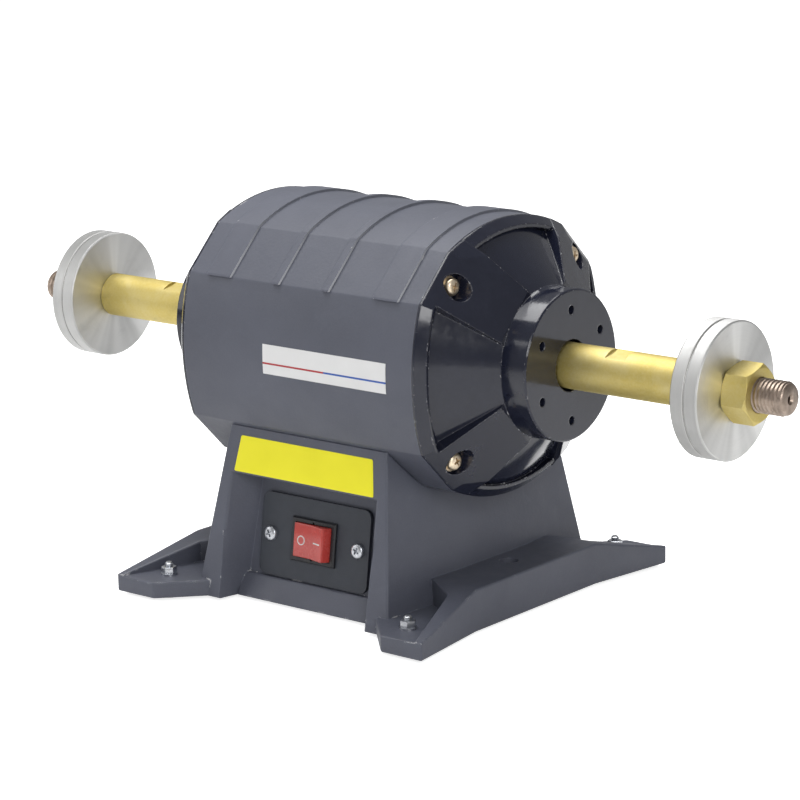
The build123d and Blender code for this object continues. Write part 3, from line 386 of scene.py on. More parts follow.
def yellow_zinc():
    """Yellow chromate over turned steel, with faint shifts of tint and a dull grain."""
    base = colours().zinc_yellow
    made = Finish("yellow_zinc").set(Metallic=1.0)
    drift = made.noise(34.0, 4.0, 0.6, distortion=0.6)
    pale = (base[0] * 1.06, base[1] * 1.12, base[2] * 1.6)
    tint = made.ramp(drift, (0.25, shade(base, 0.84)), (0.5, base), (0.75, pale))
    stain = made.ramp(made.noise(90.0, 5.0, 0.7), (0.58, 0.0), (0.80, 1.0))
    tone = made.mix(made.part(stain, 0.4), tint, shade(base, 0.52))
    grain = made.ramp(made.noise(700.0, 3.0, 0.7), (0.40, 0.0), (0.75, 1.0))
    made.to("Base Color", made.mix(made.part(grain, 0.28), tone, (0.86, 0.80, 0.50)))
    marks = made.noise(1.0, 3.0, 0.6, made.mapped(scale=(2600.0, 6.0, 6.0)))
    made.to("Roughness", made.ramp(made.mix(0.5, marks, grain), (0.2, 0.52), (0.8, 0.70)))
    made.to("Normal", made.bump(marks, 0.12, 0.2 * MM, made.soft(0.7 * MM)))
    return made.material


def turned_aluminium():
    """Bare aluminium turned on a lathe: rings, a painted fan of highlights across them, painted shade
    at the rims and where the flanges meet, and marks of handling.
    """
    base = colours().aluminium
    made = Finish("turned_aluminium").set(Metallic=1.0, Anisotropic=0.6)
    sides = made.split(made.mapped(location=(0, 0, -AXIS_HEIGHT)))
    radius = made.math("POWER", sides["Y"], 2.0)
    radius = made.math("SQRT", made.math("ADD", radius, made.math("POWER", sides["Z"], 2.0)))
    fineness = 2400.0
    rings = made.add("ShaderNodeCombineXYZ")
    made.join(made.math("MULTIPLY", radius, fineness), rings.inputs["X"])
    made.join(made.math("MULTIPLY", sides["X"], fineness), rings.inputs["Y"])
    marks = made.noise(1.0, 3.0, 0.6, rings.outputs["Vector"])
    spoke = made.add("ShaderNodeCombineXYZ")
    made.join(made.math("DIVIDE", sides["Y"], radius), spoke.inputs["X"])
    made.join(made.math("DIVIDE", sides["Z"], radius), spoke.inputs["Y"])
    # Painted highlight: bright and dark wedges round the axis stand in for the sheen of the turned
    # faces.
    fan_highlight = made.noise(1.7, 2.0, 0.5, spoke.outputs["Vector"])
    cloud = made.noise(48.0, 6.0, 0.7, distortion=0.5)
    tone = made.ramp(fan_highlight, (0.32, shade(base, 0.82)), (0.50, base), (0.66, shade(base, 1.22)))
    grime = made.ramp(cloud, (0.55, 0.0), (0.78, 1.0))
    tone = made.mix(made.part(grime, 0.35), tone, shade(base, 0.62))
    low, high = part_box("outer_flange_right")
    # Painted shade: the rims are darkened to hold back the highlight that falls on them.
    rim = made.math("GREATER_THAN", radius, (high.z - low.z) / 2 - 0.6 * MM)
    tone = made.mix(made.part(rim, 0.8), tone, shade(base, 0.66))
    # Painted shade: a dark line where the inner and outer flanges meet, at the rims.
    seam = made.math("SUBTRACT", made.math("ABSOLUTE", sides["X"]), low.x)
    seam = made.math("LESS_THAN", made.math("ABSOLUTE", seam), 0.4 * MM)
    seam = made.part(made.part(rim, seam), 0.75)
    made.to("Base Color", made.mix(seam, tone, (0.10, 0.09, 0.08)))
    made.to("Roughness", made.ramp(made.mix(0.5, marks, cloud), (0.35, 0.44), (0.65, 0.62)))
    tangent = made.add("ShaderNodeTangent", direction_type="RADIAL", axis="X")
    made.to("Tangent", tangent.outputs["Tangent"])
    made.to("Normal", made.bump(marks, 0.14, 0.15 * MM, made.soft(0.5 * MM)))
    return made.material


def oiled_steel():
    """Dark turned steel with a brown film of oil in the thread."""
    base = colours().thread
    made = Finish("oiled_steel").set(Metallic=1.0)
    film = made.noise(120.0, 5.0, 0.65)
    stops = ((0.3, shade(base, 0.6)), (0.65, shade(base, 1.3)), (0.85, (0.40, 0.36, 0.32)))
    made.to("Base Color", made.ramp(film, *stops))
    made.to("Roughness", made.ramp(film, (0.3, 0.46), (0.8, 0.30)))
    made.to("Normal", made.bump(made.noise(900.0, 2.0, 0.5), 0.12, 0.1 * MM))
    return made.material


def plated(name, base, rough=0.26):
    """Bright plating on pressed or turned steel."""
    made = Finish(name).set(Metallic=1.0)
    cloud = made.noise(140.0, 4.0, 0.6)
    made.to("Base Color", made.ramp(cloud, (0.3, shade(base, 0.72)), (0.7, base)))
    made.to("Roughness", made.ramp(cloud, (0.3, rough + 0.12), (0.7, rough)))
    made.to("Normal", made.bump(made.noise(1200.0, 2.0, 0.5), 0.06, 0.1 * MM))
    return made.material


def moulded(name, base, rough=0.4, grain=0.12, grain_scale=1800.0, gloss=0.0):
    """Moulded plastic or rubber with a fine grain."""
    made = Finish(name).set(Specular_IOR_Level=0.45, Coat_Weight=gloss, Coat_Roughness=0.08)
    cloud = made.noise(80.0, 4.0, 0.6)
    made.to("Base Color", made.ramp(cloud, (0.3, shade(base, 0.92)), (0.7, shade(base, 1.08))))
    gleam = made.noise(220.0, 3.0, 0.6)
    made.to("Roughness", made.ramp(gleam, (0.3, rough - 0.05), (0.7, rough + 0.06)))
    pores = made.noise(grain_scale, 2.0, 0.5)
    made.to("Normal", made.bump(pores, grain, 0.2 * MM, made.soft(0.5 * MM)))
    return made.material


def stacked_sheets():
    """Sheared edges of stacked electrical sheet."""
    made = Finish("stacked_sheets").set(Metallic=1.0)
    bands = made.noise(1.0, 1.0, 0.5, made.mapped(scale=(2000.0, 0.0, 0.0)))
    made.to("Base Color", made.ramp(bands, (0.35, (0.16, 0.16, 0.17)), (0.65, (0.34, 0.34, 0.36))))
    made.to("Roughness", made.ramp(bands, (0.3, 0.55), (0.7, 0.38)))
    made.to("Normal", made.bump(bands, 0.3, 0.2 * MM))
    return made.material


def enamelled_wire():
    """Varnished copper end turns with the lie of the wire showing."""
    made = Finish("enamelled_wire").set(Metallic=0.6, Coat_Weight=0.5, Coat_Roughness=0.2)
    wires = made.noise(1.0, 2.0, 0.5, made.mapped(scale=(900.0, 60.0, 60.0)), 0.4)
    made.to("Base Color", made.ramp(wires, (0.3, (0.20, 0.06, 0.02)), (0.7, (0.52, 0.21, 0.09))))
    made.to("Roughness", made.ramp(wires, (0.3, 0.5), (0.7, 0.3)))
    made.to("Normal", made.bump(wires, 0.5, 0.6 * MM))
    return made.material


def printed_film(name, base):
    """Satin sticker film with a slight ripple; returns the finish, for more to be added."""
    made = Finish(name).set(Specular_IOR_Level=0.4)
    fade = made.noise(46.0, 3.0, 0.5)
    made.to("Base Color", made.ramp(fade, (0.3, shade(base, 0.95)), (0.7, base)))
    made.to("Roughness", made.ramp(fade, (0.3, 0.32), (0.7, 0.42)))
    made.to("Normal", made.bump(made.noise(110.0, 2.0, 0.5), 0.05, 0.4 * MM))
    return made


def ruled_film(middle_x, rule_height):
    """White sticker with one thin rule across it, red on the left and blue on the right."""
    made = printed_film("ruled_film", colours().plain_white)
    paper = made.shader.inputs["Base Color"].links[0].from_socket
    place = made.split()
    half_rule = 0.55 * MM
    away = made.math("ABSOLUTE", made.math("SUBTRACT", place["Z"], rule_height))
    on_rule = made.math("LESS_THAN", away, half_rule)
    right = made.math("GREATER_THAN", place["X"], middle_x)
    ink = made.mix(right, (0.42, 0.03, 0.04), (0.03, 0.10, 0.42))
    made.to("Base Color", made.mix(on_rule, paper, ink))
    return made.material


# Shapes

def new_verts(made):
    """The vertices among what an operator made."""
    return [item for item in made if isinstance(item, bmesh.types.BMVert)]


def close_holes(bm):
    bmesh.ops.holes_fill(bm, edges=[edge for edge in bm.edges if edge.is_boundary])


def piece(name, bm, body, material, smooth_angle=35.0):
    """Finish a mesh as a piece that rides on a body."""
    bmesh.ops.remove_doubles(bm, verts=bm.verts, dist=1e-6)
    close_holes(bm)
    bmesh.ops.recalc_face_normals(bm, faces=bm.faces)
    mesh = bpy.data.meshes.new(name)
    bm.to_mesh(mesh)
    bm.free()
    # A copy of a CAD mesh brings normals that no longer fit it.
    stale = mesh.attributes.get("custom_normal")
    if stale:
        mesh.attributes.remove(stale)
    mesh.materials.append(material)
    mesh.shade_smooth()
    mesh.set_sharp_from_angle(angle=math.radians(smooth_angle))
    made = bpy.data.objects.new(name, mesh)
    bpy.context.scene.collection.objects.link(made)
    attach(made, body)
    return made


def shade_evenly(made):
    """Let large faces set the shading of a piece's smooth edges."""
    even = made.modifiers.new("even_shading", "WEIGHTED_NORMAL")
    even.keep_sharp = True


def coat(material, *nodes):
    """Give CAD nodes a finish."""
    for name in nodes:
        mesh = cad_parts[name].data
        mesh.materials.clear()
        mesh.materials.append(material)


def spun(
    bm, profile, axis_place, axis, turn=FULL_TURN, steps=64, shift=(0, 0, 0), closed=False,
):
    """Turn a line of points about an axis; a shift at each step makes a helix."""
    points = [bm.verts.new(point) for point in profile]
    pairs = list(zip(points, points[1:]))
    if closed:
        pairs.append((points[-1], points[0]))
    edges = [bm.edges.new(pair) for pair in pairs]
    full = abs(turn - FULL_TURN) < 1e-6 and Vector(shift).length == 0
    bmesh.ops.spin(
        bm, geom=points + edges, cent=axis_place, axis=axis, dvec=shift,
        angle=turn, steps=steps, use_merge=full, use_duplicate=False,
    )


def raise_face(bm, face, rise, spread=1.0):
    """Extrude one level face along Z and scale its copy about its middle."""
    made = bmesh.ops.extrude_discrete_faces(bm, faces=[face])["faces"][0]
    middle = made.calc_center_median()
    bmesh.ops.translate(bm, verts=made.verts, vec=(0, 0, rise))
    keep = Matrix.Translation(middle)
    bmesh.ops.scale(bm, verts=made.verts, vec=(spread, spread, 1.0), space=keep.inverted())
    return made


def cross_outline(length, half):
    """Outline of a cross: 16 points, and one more between each two."""
    quarter = [(length, 0), (length, half), (half, half), (half, length)]
    corners = []
    for turn in range(4):
        corners += [Matrix.Rotation(turn * math.pi / 2, 2) @ Vector(point) for point in quarter]
    ring = []
    for here, after in zip(corners, corners[1:] + corners[:1]):
        ring += [here, (here + after) / 2]
    return ring


def cross_head(bm, radius, height, washer=0.0):
    """Add a pan head with a cross recess, standing on Z = 0, on a washer where one is given."""
    made = bmesh.ops.create_circle(bm, cap_ends=True, segments=32, radius=radius)
    top = made["verts"][0].link_faces[0]
    if top.normal.z < 0:
        top.normal_flip()
    if washer:
        bmesh.ops.scale(bm, verts=top.verts, vec=(WASHER_SPREAD, WASHER_SPREAD, 1.0))
        top = raise_face(bm, top, washer * 0.8)
        top = raise_face(bm, top, washer * 0.2, WASHER_TAPER)
        top = raise_face(bm, top, 0.0, 1 / (WASHER_SPREAD * WASHER_TAPER))
    for share, spread in HEAD_STEPS:
        top = raise_face(bm, top, height * share, spread)
    rim = raise_face(bm, top, 0.0)
    level = rim.calc_center_median().z
    outline = cross_outline(radius * 0.52, radius * 0.13)
    ordered = sorted(rim.verts, key=lambda v: math.atan2(v.co.y, v.co.x) % FULL_TURN)
    for vert, place in zip(ordered, outline):
        vert.co = (place.x, place.y, level)
    bmesh.ops.triangulate(bm, faces=[rim])
    within = set(ordered)
    flat = [face for face in bm.faces if within.issuperset(face.verts)]
    sunk = bmesh.ops.extrude_face_region(bm, geom=flat)["geom"]
    bmesh.ops.delete(bm, geom=flat, context="FACES_ONLY")
    floor = new_verts(sunk)
    bmesh.ops.translate(bm, verts=floor, vec=(0, 0, -height * 0.55))
    bmesh.ops.scale(bm, verts=floor, vec=(0.72, 0.72, 1.0))


def stem(bm, radius, length, segments):
    """Add a plain stem, standing on Z = 0, round or with few sides."""
    ring = bmesh.ops.create_circle(bm, cap_ends=True, segments=segments, radius=radius)
    raise_face(bm, ring["verts"][0].link_faces[0], length)


def placed(bm, before, matrix):
    """Move what was added to a mesh since a count of its vertices."""
    bm.verts.ensure_lookup_table()
    bmesh.ops.transform(bm, matrix=matrix, verts=bm.verts[before:])


def plate_matrix():
    """Frame of the switch plate's front: X right, Y up the plate, Z towards the user."""
    outwards = Vector((0, -math.cos(PLATE_LEAN), math.sin(PLATE_LEAN)))
    up = Vector((0, math.sin(PLATE_LEAN), math.cos(PLATE_LEAN)))
    turn = Matrix((Vector((1, 0, 0)), up, outwards)).transposed().to_4x4()
    return Matrix.Translation(PLATE_MIDDLE) @ turn


def facing_x(side, x, y, z):
    """Frame at a place on an end of the machine, its Z pointing away along X."""
    return Matrix.Translation((x, y, z)) @ Matrix.Rotation(side * math.pi / 2, 4, "Y")


def merged_copy(node):
    """Copy of a CAD node's mesh with its doubled corners merged."""
    bm = bmesh.new()
    bm.from_mesh(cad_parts[node].data)
    bmesh.ops.remove_doubles(bm, verts=bm.verts, dist=2e-6)
    return bm


def rounded_copy(node, name, body, material, width, least_length, least_area):
    """Copy of a CAD node with its triangles joined into faces and its larger edges rounded."""
    bm = merged_copy(node)
    bmesh.ops.dissolve_limit(bm, angle_limit=FLAT_ANGLE, verts=bm.verts, edges=bm.edges)
    outer = []
    for edge in bm.edges:
        if len(edge.link_faces) != 2 or not edge.is_convex or edge.calc_length() < least_length:
            continue
        if edge.calc_face_angle() < EDGE_ANGLE:
            continue
        if min(face.calc_area() for face in edge.link_faces) > least_area:
            outer.append(edge)
    bmesh.ops.bevel(
        bm, geom=outer, offset=width, offset_type="OFFSET", segments=4, profile=0.5,
        affect="EDGES", material=-1, clamp_overlap=False,
    )
    low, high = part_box(node)
    for vert in bm.verts:
        vert.co = [min(max(value, least), most) for value, least, most in zip(vert.co, low, high)]
    made = piece(name, bm, body, material, 32.0)
    shade_evenly(made)
    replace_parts(made, node)


# Pieces

class GRINDER_OT_castings(Operator):
    """Paint the base casting and the motor housing."""

    bl_idname = "grinder.castings"
    bl_label = "Castings"

    def execute(self, context):
        paint = casting_paint()
        coat(paint, "motor_housing")
        rounded_copy(
            "base", "rounded_base", "stand", paint, sizes().casting_round,
            least_length=6 * MM, least_area=40e-6,
        )
        return {"FINISHED"}


class GRINDER_OT_end_bells(Operator):
    """Enamel the two end bells, with the arms' corners cut back to the housing's outline."""

    bl_idname = "grinder.end_bells"
    bl_label = "End Bells"

    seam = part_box("motor_housing")[1].x
    rim_band = 1.5 * MM
    rim_reach = 7.5 * MM
    skin = 0.03 * MM

    # The housing's outline about its axis, in mm: half sizes, and where a facet meets the arcs.
    half_width = 86.8
    half_height = 81.0
    side_end = (79.1, 42.9)
    top_end = (52.9, 68.5)

    def facet_ends(self):
        """Both ends of the facet at +Y +Z from the axis, with the outward line of the arc there."""
        y, z = self.side_end
        sag = self.half_width - y
        centre = self.half_width - (z * z + sag * sag) / (2 * sag)
        yield Vector((0, y * MM, z * MM)), Vector((0, y - centre, z)).normalized()
        y, z = self.top_end
        sag = self.half_height - z
        centre = self.half_height - (y * y + sag * sag) / (2 * sag)
        yield Vector((0, y * MM, z * MM)), Vector((0, y, z - centre)).normalized()

    def corner_planes(self, side):
        """Planes against the housing's arcs at each facet's ends: the rim's band and its slope."""
        middle = Vector((side * (self.seam + self.rim_band), 0, AXIS_HEIGHT))
        along = Vector((side, 0, 0))
        planes = []
        for flip_y in (-1, 1):
            for flip_z in (-1, 1):
                flip = Vector((1, flip_y, flip_z))
                for end, outward in self.facet_ends():
                    planes.append((end * flip + middle, outward * flip))
                    planes.append((end * flip + middle, (outward * flip + along).normalized()))
        return planes

    def trimmed(self, node, side, enamel):
        """Copy of one bell, cut by each plane where its rim stands proud of it."""
        bm = merged_copy(node)
        for place, outward in self.corner_planes(side):
            rim = [vert for vert in bm.verts if abs(vert.co.x) < self.seam + self.rim_reach]
            proud = [vert for vert in rim if (vert.co - place).dot(outward) > self.skin]
            faces = list(dict.fromkeys(face for vert in proud for face in vert.link_faces))
            edges = list(dict.fromkeys(edge for face in faces for edge in face.edges))
            verts = list(dict.fromkeys(vert for face in faces for vert in face.verts))
            bmesh.ops.bisect_plane(
                bm, geom=verts + edges + faces, dist=1e-7, plane_co=place + outward * self.skin,
                plane_no=outward, clear_outer=True,
            )
            close_holes(bm)
        made = piece(node + "_trimmed", bm, "stand", enamel, 16.0)
        shade_evenly(made)
        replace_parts(made, node)

    def execute(self, context):
        enamel = bell_enamel()
        self.trimmed("end_bell_left", -1, enamel)
        self.trimmed("end_bell_right", 1, enamel)
        return {"FINISHED"}


class GRINDER_OT_spindle(Operator):
    """Turn the shaft with its two threads and finish sleeves, flanges and nuts."""

    bl_idname = "grinder.spindle"
    bl_label = "Spindle"

    thread_start = NUT_LOW.x - 1.2 * MM
    neck = 10 * MM
    middle = (0, 0, AXIS_HEIGHT)

    def beside(self, line):
        """Places along the shaft and radii as points above its axis."""
        return [(x, 0, AXIS_HEIGHT + radius) for x, radius in line]

    def thread(self, bm, side):
        """One thread, right-handed on the right end and left-handed on the left."""
        size = sizes()
        pitch = size.thread_pitch
        start = self.thread_start
        turns = (SHAFT_HIGH.x - 0.7 * MM - start) / pitch - 1.0
        steps = round(36 * turns)
        crest = size.thread_crest
        root = size.thread_root - 0.3 * MM
        ridge = [(0.06, root), (0.42, crest), (0.58, crest), (0.94, root)]
        profile = [(side * (start + along * pitch), radius) for along, radius in ridge]
        spun(
            bm, self.beside(profile), self.middle, (1, 0, 0), FULL_TURN * turns, steps,
            (side * pitch * turns / steps, 0, 0), True,
        )

    def execute(self, context):
        size = sizes()
        steel = oiled_steel()
        tip = SHAFT_HIGH.x
        root = size.thread_root
        core = (SHAFT_HIGH.z - SHAFT_LOW.z) / 2
        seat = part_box("bearing_inner_ring_right")[0].x
        # From the middle to a seat, a neck and the thread's root, and into the centre hole.
        half = [
            (0, core), (seat - 0.5 * MM, core), (seat, core - 0.5 * MM), (seat, self.neck),
            (NUT_LOW.x - 2.5 * MM, self.neck), (self.thread_start, root), (tip - 1.0 * MM, root),
            (tip - 0.2 * MM, 8.3 * MM), (tip, 8.0 * MM), (tip, 3.0 * MM),
            (tip - 1.4 * MM, 1.9 * MM), (tip - 6.0 * MM, 1.7 * MM), (tip - 6.6 * MM, 0),
        ]
        line = [(-x, radius) for x, radius in reversed(half[1:])] + half
        bm = bmesh.new()
        spun(bm, self.beside(line), self.middle, (1, 0, 0), steps=size.turn_steps)
        for side in (-1, 1):
            self.thread(bm, side)
        made = piece("threaded_shaft", bm, "spindle", steel)
        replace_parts(made, "shaft")
        gold = yellow_zinc()
        turned = turned_aluminium()
        for end in ("left", "right"):
            coat(gold, "sleeve_" + end, "spindle_nut_" + end)
            coat(turned, "inner_flange_" + end, "outer_flange_" + end)
        return {"FINISHED"}


class GRINDER_OT_bell_screws(Operator):
    """Model the gold cross-recess screws of both end bells."""

    bl_idname = "grinder.bell_screws"
    bl_label = "Bell Screws"

    head = 3.6 * MM
    rise = 4.4 * MM
    radius = 5.5 * MM
    shank = 3.0 * MM
    length = 16.0 * MM

    def screw(self, bm, side, x, y, z, turn):
        """One screw, its head at X with the recess turned, and its shank into the bell."""
        before = len(bm.verts)
        cross_head(bm, self.radius * 0.95, self.rise, self.head * 0.3)
        seat = facing_x(side, x - side * self.head, y, z)
        placed(bm, before, seat @ Matrix.Rotation(turn, 4, "Z"))
        before = len(bm.verts)
        stem(bm, self.shank, self.length, 20)
        placed(bm, before, facing_x(-side, x - side * self.head * 0.98, y, z))

    def execute(self, context):
        gold = plated("gold_chromate", (0.95, 0.80, 0.60), 0.38)
        for side, node in ((1, "bell_screws_right"), (-1, "bell_screws_left")):
            low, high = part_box(node)
            outer = high.x if side > 0 else low.x
            bm = bmesh.new()
            turn = 0.35
            for y in (low.y + self.radius, high.y - self.radius):
                for z in (low.z + self.radius, high.z - self.radius):
                    self.screw(bm, side, outer, y, z, turn)
                    turn += 0.9
            made = piece(node + "_detailed", bm, "stand", gold, 40.0)
            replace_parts(made, node)
        return {"FINISHED"}


class GRINDER_OT_switch(Operator):
    """Finish the switch plate and rocker, with screws and the two marks on the rocker."""

    bl_idname = "grinder.switch"
    bl_label = "Switch"

    tip = math.radians(9.0)
    face = 3.7 * MM
    pivot_rise = 0.5 * MM
    reach = 13.4 * MM
    half_height = 10.0 * MM
    end_angles = (-0.35, -0.15, 0.05, 0.23, 0.40)
    mark_offset = 6.8 * MM
    screw_offset = 33.1 * MM
    screw_length = 8.0 * MM

    def tipped(self):
        """Frame of the rocker at rest, tipped about its pivot."""
        pivot = Matrix.Translation((0, 0, self.pivot_rise))
        return plate_matrix() @ pivot @ Matrix.Rotation(-self.tip, 4, "Y") @ pivot.inverted()

    def rocker(self, plastic):
        """Rocker with rounded edges: its end arcs and shallow V face, drawn out to its height."""
        bm = bmesh.new()
        right = []
        for angle in self.end_angles:
            level = self.pivot_rise + self.reach * math.sin(angle)
            right.append((self.reach * math.cos(angle), level))
        left = [(-x, z) for x, z in reversed(right)]
        outline = right + [(0, self.face)] + left
        side = bm.faces.new([bm.verts.new((x, self.half_height, z)) for x, z in outline])
        made = bmesh.ops.extrude_face_region(bm, geom=[side])["geom"]
        bmesh.ops.translate(bm, verts=new_verts(made), vec=(0, -2 * self.half_height, 0))
        bmesh.ops.recalc_face_normals(bm, faces=bm.faces)
        sharp = [e for e in bm.edges if e.calc_face_angle() > math.radians(35)]
        bmesh.ops.bevel(
            bm, geom=sharp, offset=0.6 * MM, offset_type="OFFSET", segments=3, profile=0.5,
            affect="EDGES", material=-1, clamp_overlap=True,
        )
        bmesh.ops.transform(bm, matrix=self.tipped(), verts=bm.verts)
        made = piece("rounded_rocker", bm, "rocker", plastic, 30.0)
        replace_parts(made, "switch_rocker")

    def marks(self, ink):
        """A ring on the pressed half and a bar on the raised half."""
        bm = bmesh.new()
        for side in (-1, 1):
            before = len(bm.verts)
            if side < 0:
                section = [(2.2, 0.0), (2.85, 0.0), (2.85, 0.12), (2.2, 0.12)]
                profile = [(radius * MM, 0, level * MM) for radius, level in section]
                spun(bm, profile, (0, 0, 0), (0, 0, 1), steps=32, closed=True)
            else:
                bar = bmesh.ops.create_cube(bm, size=1.0)["verts"]
                bmesh.ops.scale(bm, verts=bar, vec=(6.8 * MM, 0.8 * MM, 0.24 * MM))
            lift = Matrix.Translation((0, 0, self.face)) @ Matrix.Rotation(-side * self.tip, 4, "Y")
            shift = Matrix.Translation((side * self.mark_offset, 0, 0))
            placed(bm, before, self.tipped() @ lift @ shift)
        piece("rocker_marks", bm, "rocker", ink)

    def screws(self, zinc):
        """The two screws of the plate, their recesses turned differently."""
        bm = bmesh.new()
        for side, turn in ((-1, 0.5), (1, 1.1)):
            seat = plate_matrix() @ Matrix.Translation((side * self.screw_offset, 0, 0))
            before = len(bm.verts)
            cross_head(bm, 4.4 * MM, 2.6 * MM)
            placed(bm, before, seat @ Matrix.Rotation(turn, 4, "Z"))
            before = len(bm.verts)
            stem(bm, 2.0 * MM, self.screw_length, 16)
            placed(bm, before, seat @ Matrix.Translation((0, 0, -self.screw_length)))
        made = piece("switch_plate_screws_detailed", bm, "stand", zinc, 40.0)
        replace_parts(made, "switch_plate_screws")

    def execute(self, context):
        shades = colours()
        coat(moulded("switch_panel", shades.panel, 0.44, 0.16), "switch_plate")
        coat(moulded("switch_case", (0.016, 0.016, 0.019), 0.32, 0.05), "switch_body")
        self.rocker(moulded("red_rocker", shades.rocker, 0.26, 0.03, 900.0, 0.35))
        coat(plated("stamped_brass", (0.62, 0.50, 0.24)), "switch_terminals")
        self.marks(moulded("white_print", (0.80, 0.78, 0.76), 0.4, 0.02))
        self.screws(plated("plate_screw_zinc", shades.zinc, 0.30))
        return {"FINISHED"}


class GRINDER_OT_feet(Operator):
    """Model the nuts and threaded studs on the foot pads and finish washers and rubber."""

    bl_idname = "grinder.feet"
    bl_label = "Feet"

    half_span_x = 91.0 * MM
    half_span_y = 100.0 * MM
    across_flats = 8.0 * MM
    pitch = 0.8 * MM
    steps_per_turn = 20

    def places(self):
        for sign_x in (-1, 1):
            for sign_y in (-1, 1):
                yield sign_x * self.half_span_x, sign_y * self.half_span_y

    def nuts(self, zinc):
        """Hexagon nuts with chamfered tops, each turned a little further."""
        low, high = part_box("foot_nuts")
        bm = bmesh.new()
        turn = 0.2
        for x, y in self.places():
            before = len(bm.verts)
            stem(bm, self.across_flats / math.sqrt(3), high.z - low.z, 6)
            seat = Matrix.Translation((x, y, low.z))
            placed(bm, before, seat @ Matrix.Rotation(turn, 4, "Z"))
            turn += 0.7
        rims = [e for e in bm.edges if all(v.co.z > high.z - 1e-6 for v in e.verts)]
        bmesh.ops.bevel(
            bm, geom=rims, offset=0.45 * MM, offset_type="OFFSET", segments=2,
            profile=0.5, affect="EDGES", material=-1, clamp_overlap=True,
        )
        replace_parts(piece("foot_nuts_detailed", bm, "stand", zinc), "foot_nuts")

    def studs(self, zinc):
        """Headed studs, threaded where they stand above their nuts."""
        low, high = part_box("foot_screws")
        foot, top = low.z, high.z
        core = [
            (0.0, foot), (4.4 * MM, foot), (4.6 * MM, foot + 0.3 * MM), (4.6 * MM, foot + 2.2 * MM),
            (2.1 * MM, foot + 2.2 * MM), (2.1 * MM, top - 0.7 * MM), (1.6 * MM, top), (0.0, top),
        ]
        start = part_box("foot_nuts")[1].z - self.pitch
        turns = int((top - 0.6 * MM - start) / self.pitch)
        ridge = [(2.0, 0.05), (2.5, 0.42), (2.5, 0.58), (2.0, 0.95)]
        thread = [(radius * MM, start + along * self.pitch) for radius, along in ridge]
        bm = bmesh.new()
        for x, y in self.places():
            axis = ((x, y, 0), (0, 0, 1))
            spun(bm, [(x + radius, y, z) for radius, z in core], *axis, steps=24)
            spun(
                bm, [(x + radius, y, z) for radius, z in thread], *axis, FULL_TURN * turns,
                self.steps_per_turn * turns, (0, 0, self.pitch / self.steps_per_turn), True,
            )
        made = piece("foot_screws_threaded", bm, "stand", zinc)
        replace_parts(made, "foot_screws")

    def execute(self, context):
        zinc = plated("foot_zinc", colours().zinc, 0.24)
        coat(zinc, "foot_washers")
        coat(moulded("foot_rubber", (0.018, 0.018, 0.018), 0.7, 0.2, 700.0), "rubber_feet")
        self.nuts(zinc)
        self.studs(zinc)
        return {"FINISHED"}


class GRINDER_OT_stickers(Operator):
    """Lay a plain band on the base's front and a plain sticker on the motor housing."""

    bl_idname = "grinder.stickers"
    bl_label = "Stickers"

    # The leaning front's foot and slope, and the height and half length of the band's edges, in mm.
    front_low = 2.0
    front_rise = 104.4
    front_depth = 96.0
    front_lean = 19.3
    band_top = (98.6, 49.6)
    band_foot = (77.6, 52.7)

    def corner(self, edge, side):
        """One end of an edge of the band, on the leaning front."""
        z, half = edge
        depth = self.front_depth - self.front_lean * (z - self.front_low) / self.front_rise
        return (side * half * MM, -depth * MM, z * MM)

    def band(self):
        """Band above the switch, flat on the leaning front."""
        size = sizes()
        bm = bmesh.new()
        ring = [self.corner(self.band_top, -1), self.corner(self.band_foot, -1)]
        ring += [self.corner(self.band_foot, 1), self.corner(self.band_top, 1)]
        face = bm.faces.new([bm.verts.new(point) for point in ring])
        bmesh.ops.bevel(
            bm, geom=list(face.verts), offset=size.sticker_corner, offset_type="OFFSET",
            segments=4, profile=0.5, affect="VERTICES", material=-1, clamp_overlap=True,
        )
        bm.faces.ensure_lookup_table()
        face = bm.faces[0]
        face.normal_update()
        if face.normal.y > 0:
            face.normal_flip()
            face.normal_update()
        lift = face.normal * size.sticker_thickness
        made = bmesh.ops.extrude_face_region(bm, geom=list(bm.faces))["geom"]
        bmesh.ops.translate(bm, verts=new_verts(made), vec=lift)
        film = printed_film("band_film", colours().band).material
        piece("front_band", bm, "stand", film)

    def sticker(self):
        """White sticker, bent to the housing's front arc."""
        left, right = -24.0 * MM, 67.0 * MM
        reach = 8.7 * MM
        arc = 123.4 * MM
        front = -86.8 * MM
        rule_drop = 2.4 * MM
        bm = bmesh.new()
        bmesh.ops.create_grid(bm, x_segments=2, y_segments=12, size=0.5)
        for vert in bm.verts:
            angle = vert.co.y * 2 * reach / arc
            x = left + (vert.co.x + 0.5) * (right - left)
            depth = front + arc * (1 - math.cos(angle))
            vert.co = (x, depth, AXIS_HEIGHT + arc * math.sin(angle))
        bmesh.ops.recalc_face_normals(bm, faces=bm.faces)
        bm.normal_update()
        made = bmesh.ops.extrude_face_region(bm, geom=list(bm.faces))["geom"]
        bmesh.ops.translate(bm, verts=new_verts(made), vec=(0, -sizes().sticker_thickness, 0))
        film = ruled_film((left + right) / 2, AXIS_HEIGHT - rule_drop)
        piece("housing_sticker", bm, "stand", film)

    def execute(self, context):
        self.band()
        self.sticker()
        return {"FINISHED"}


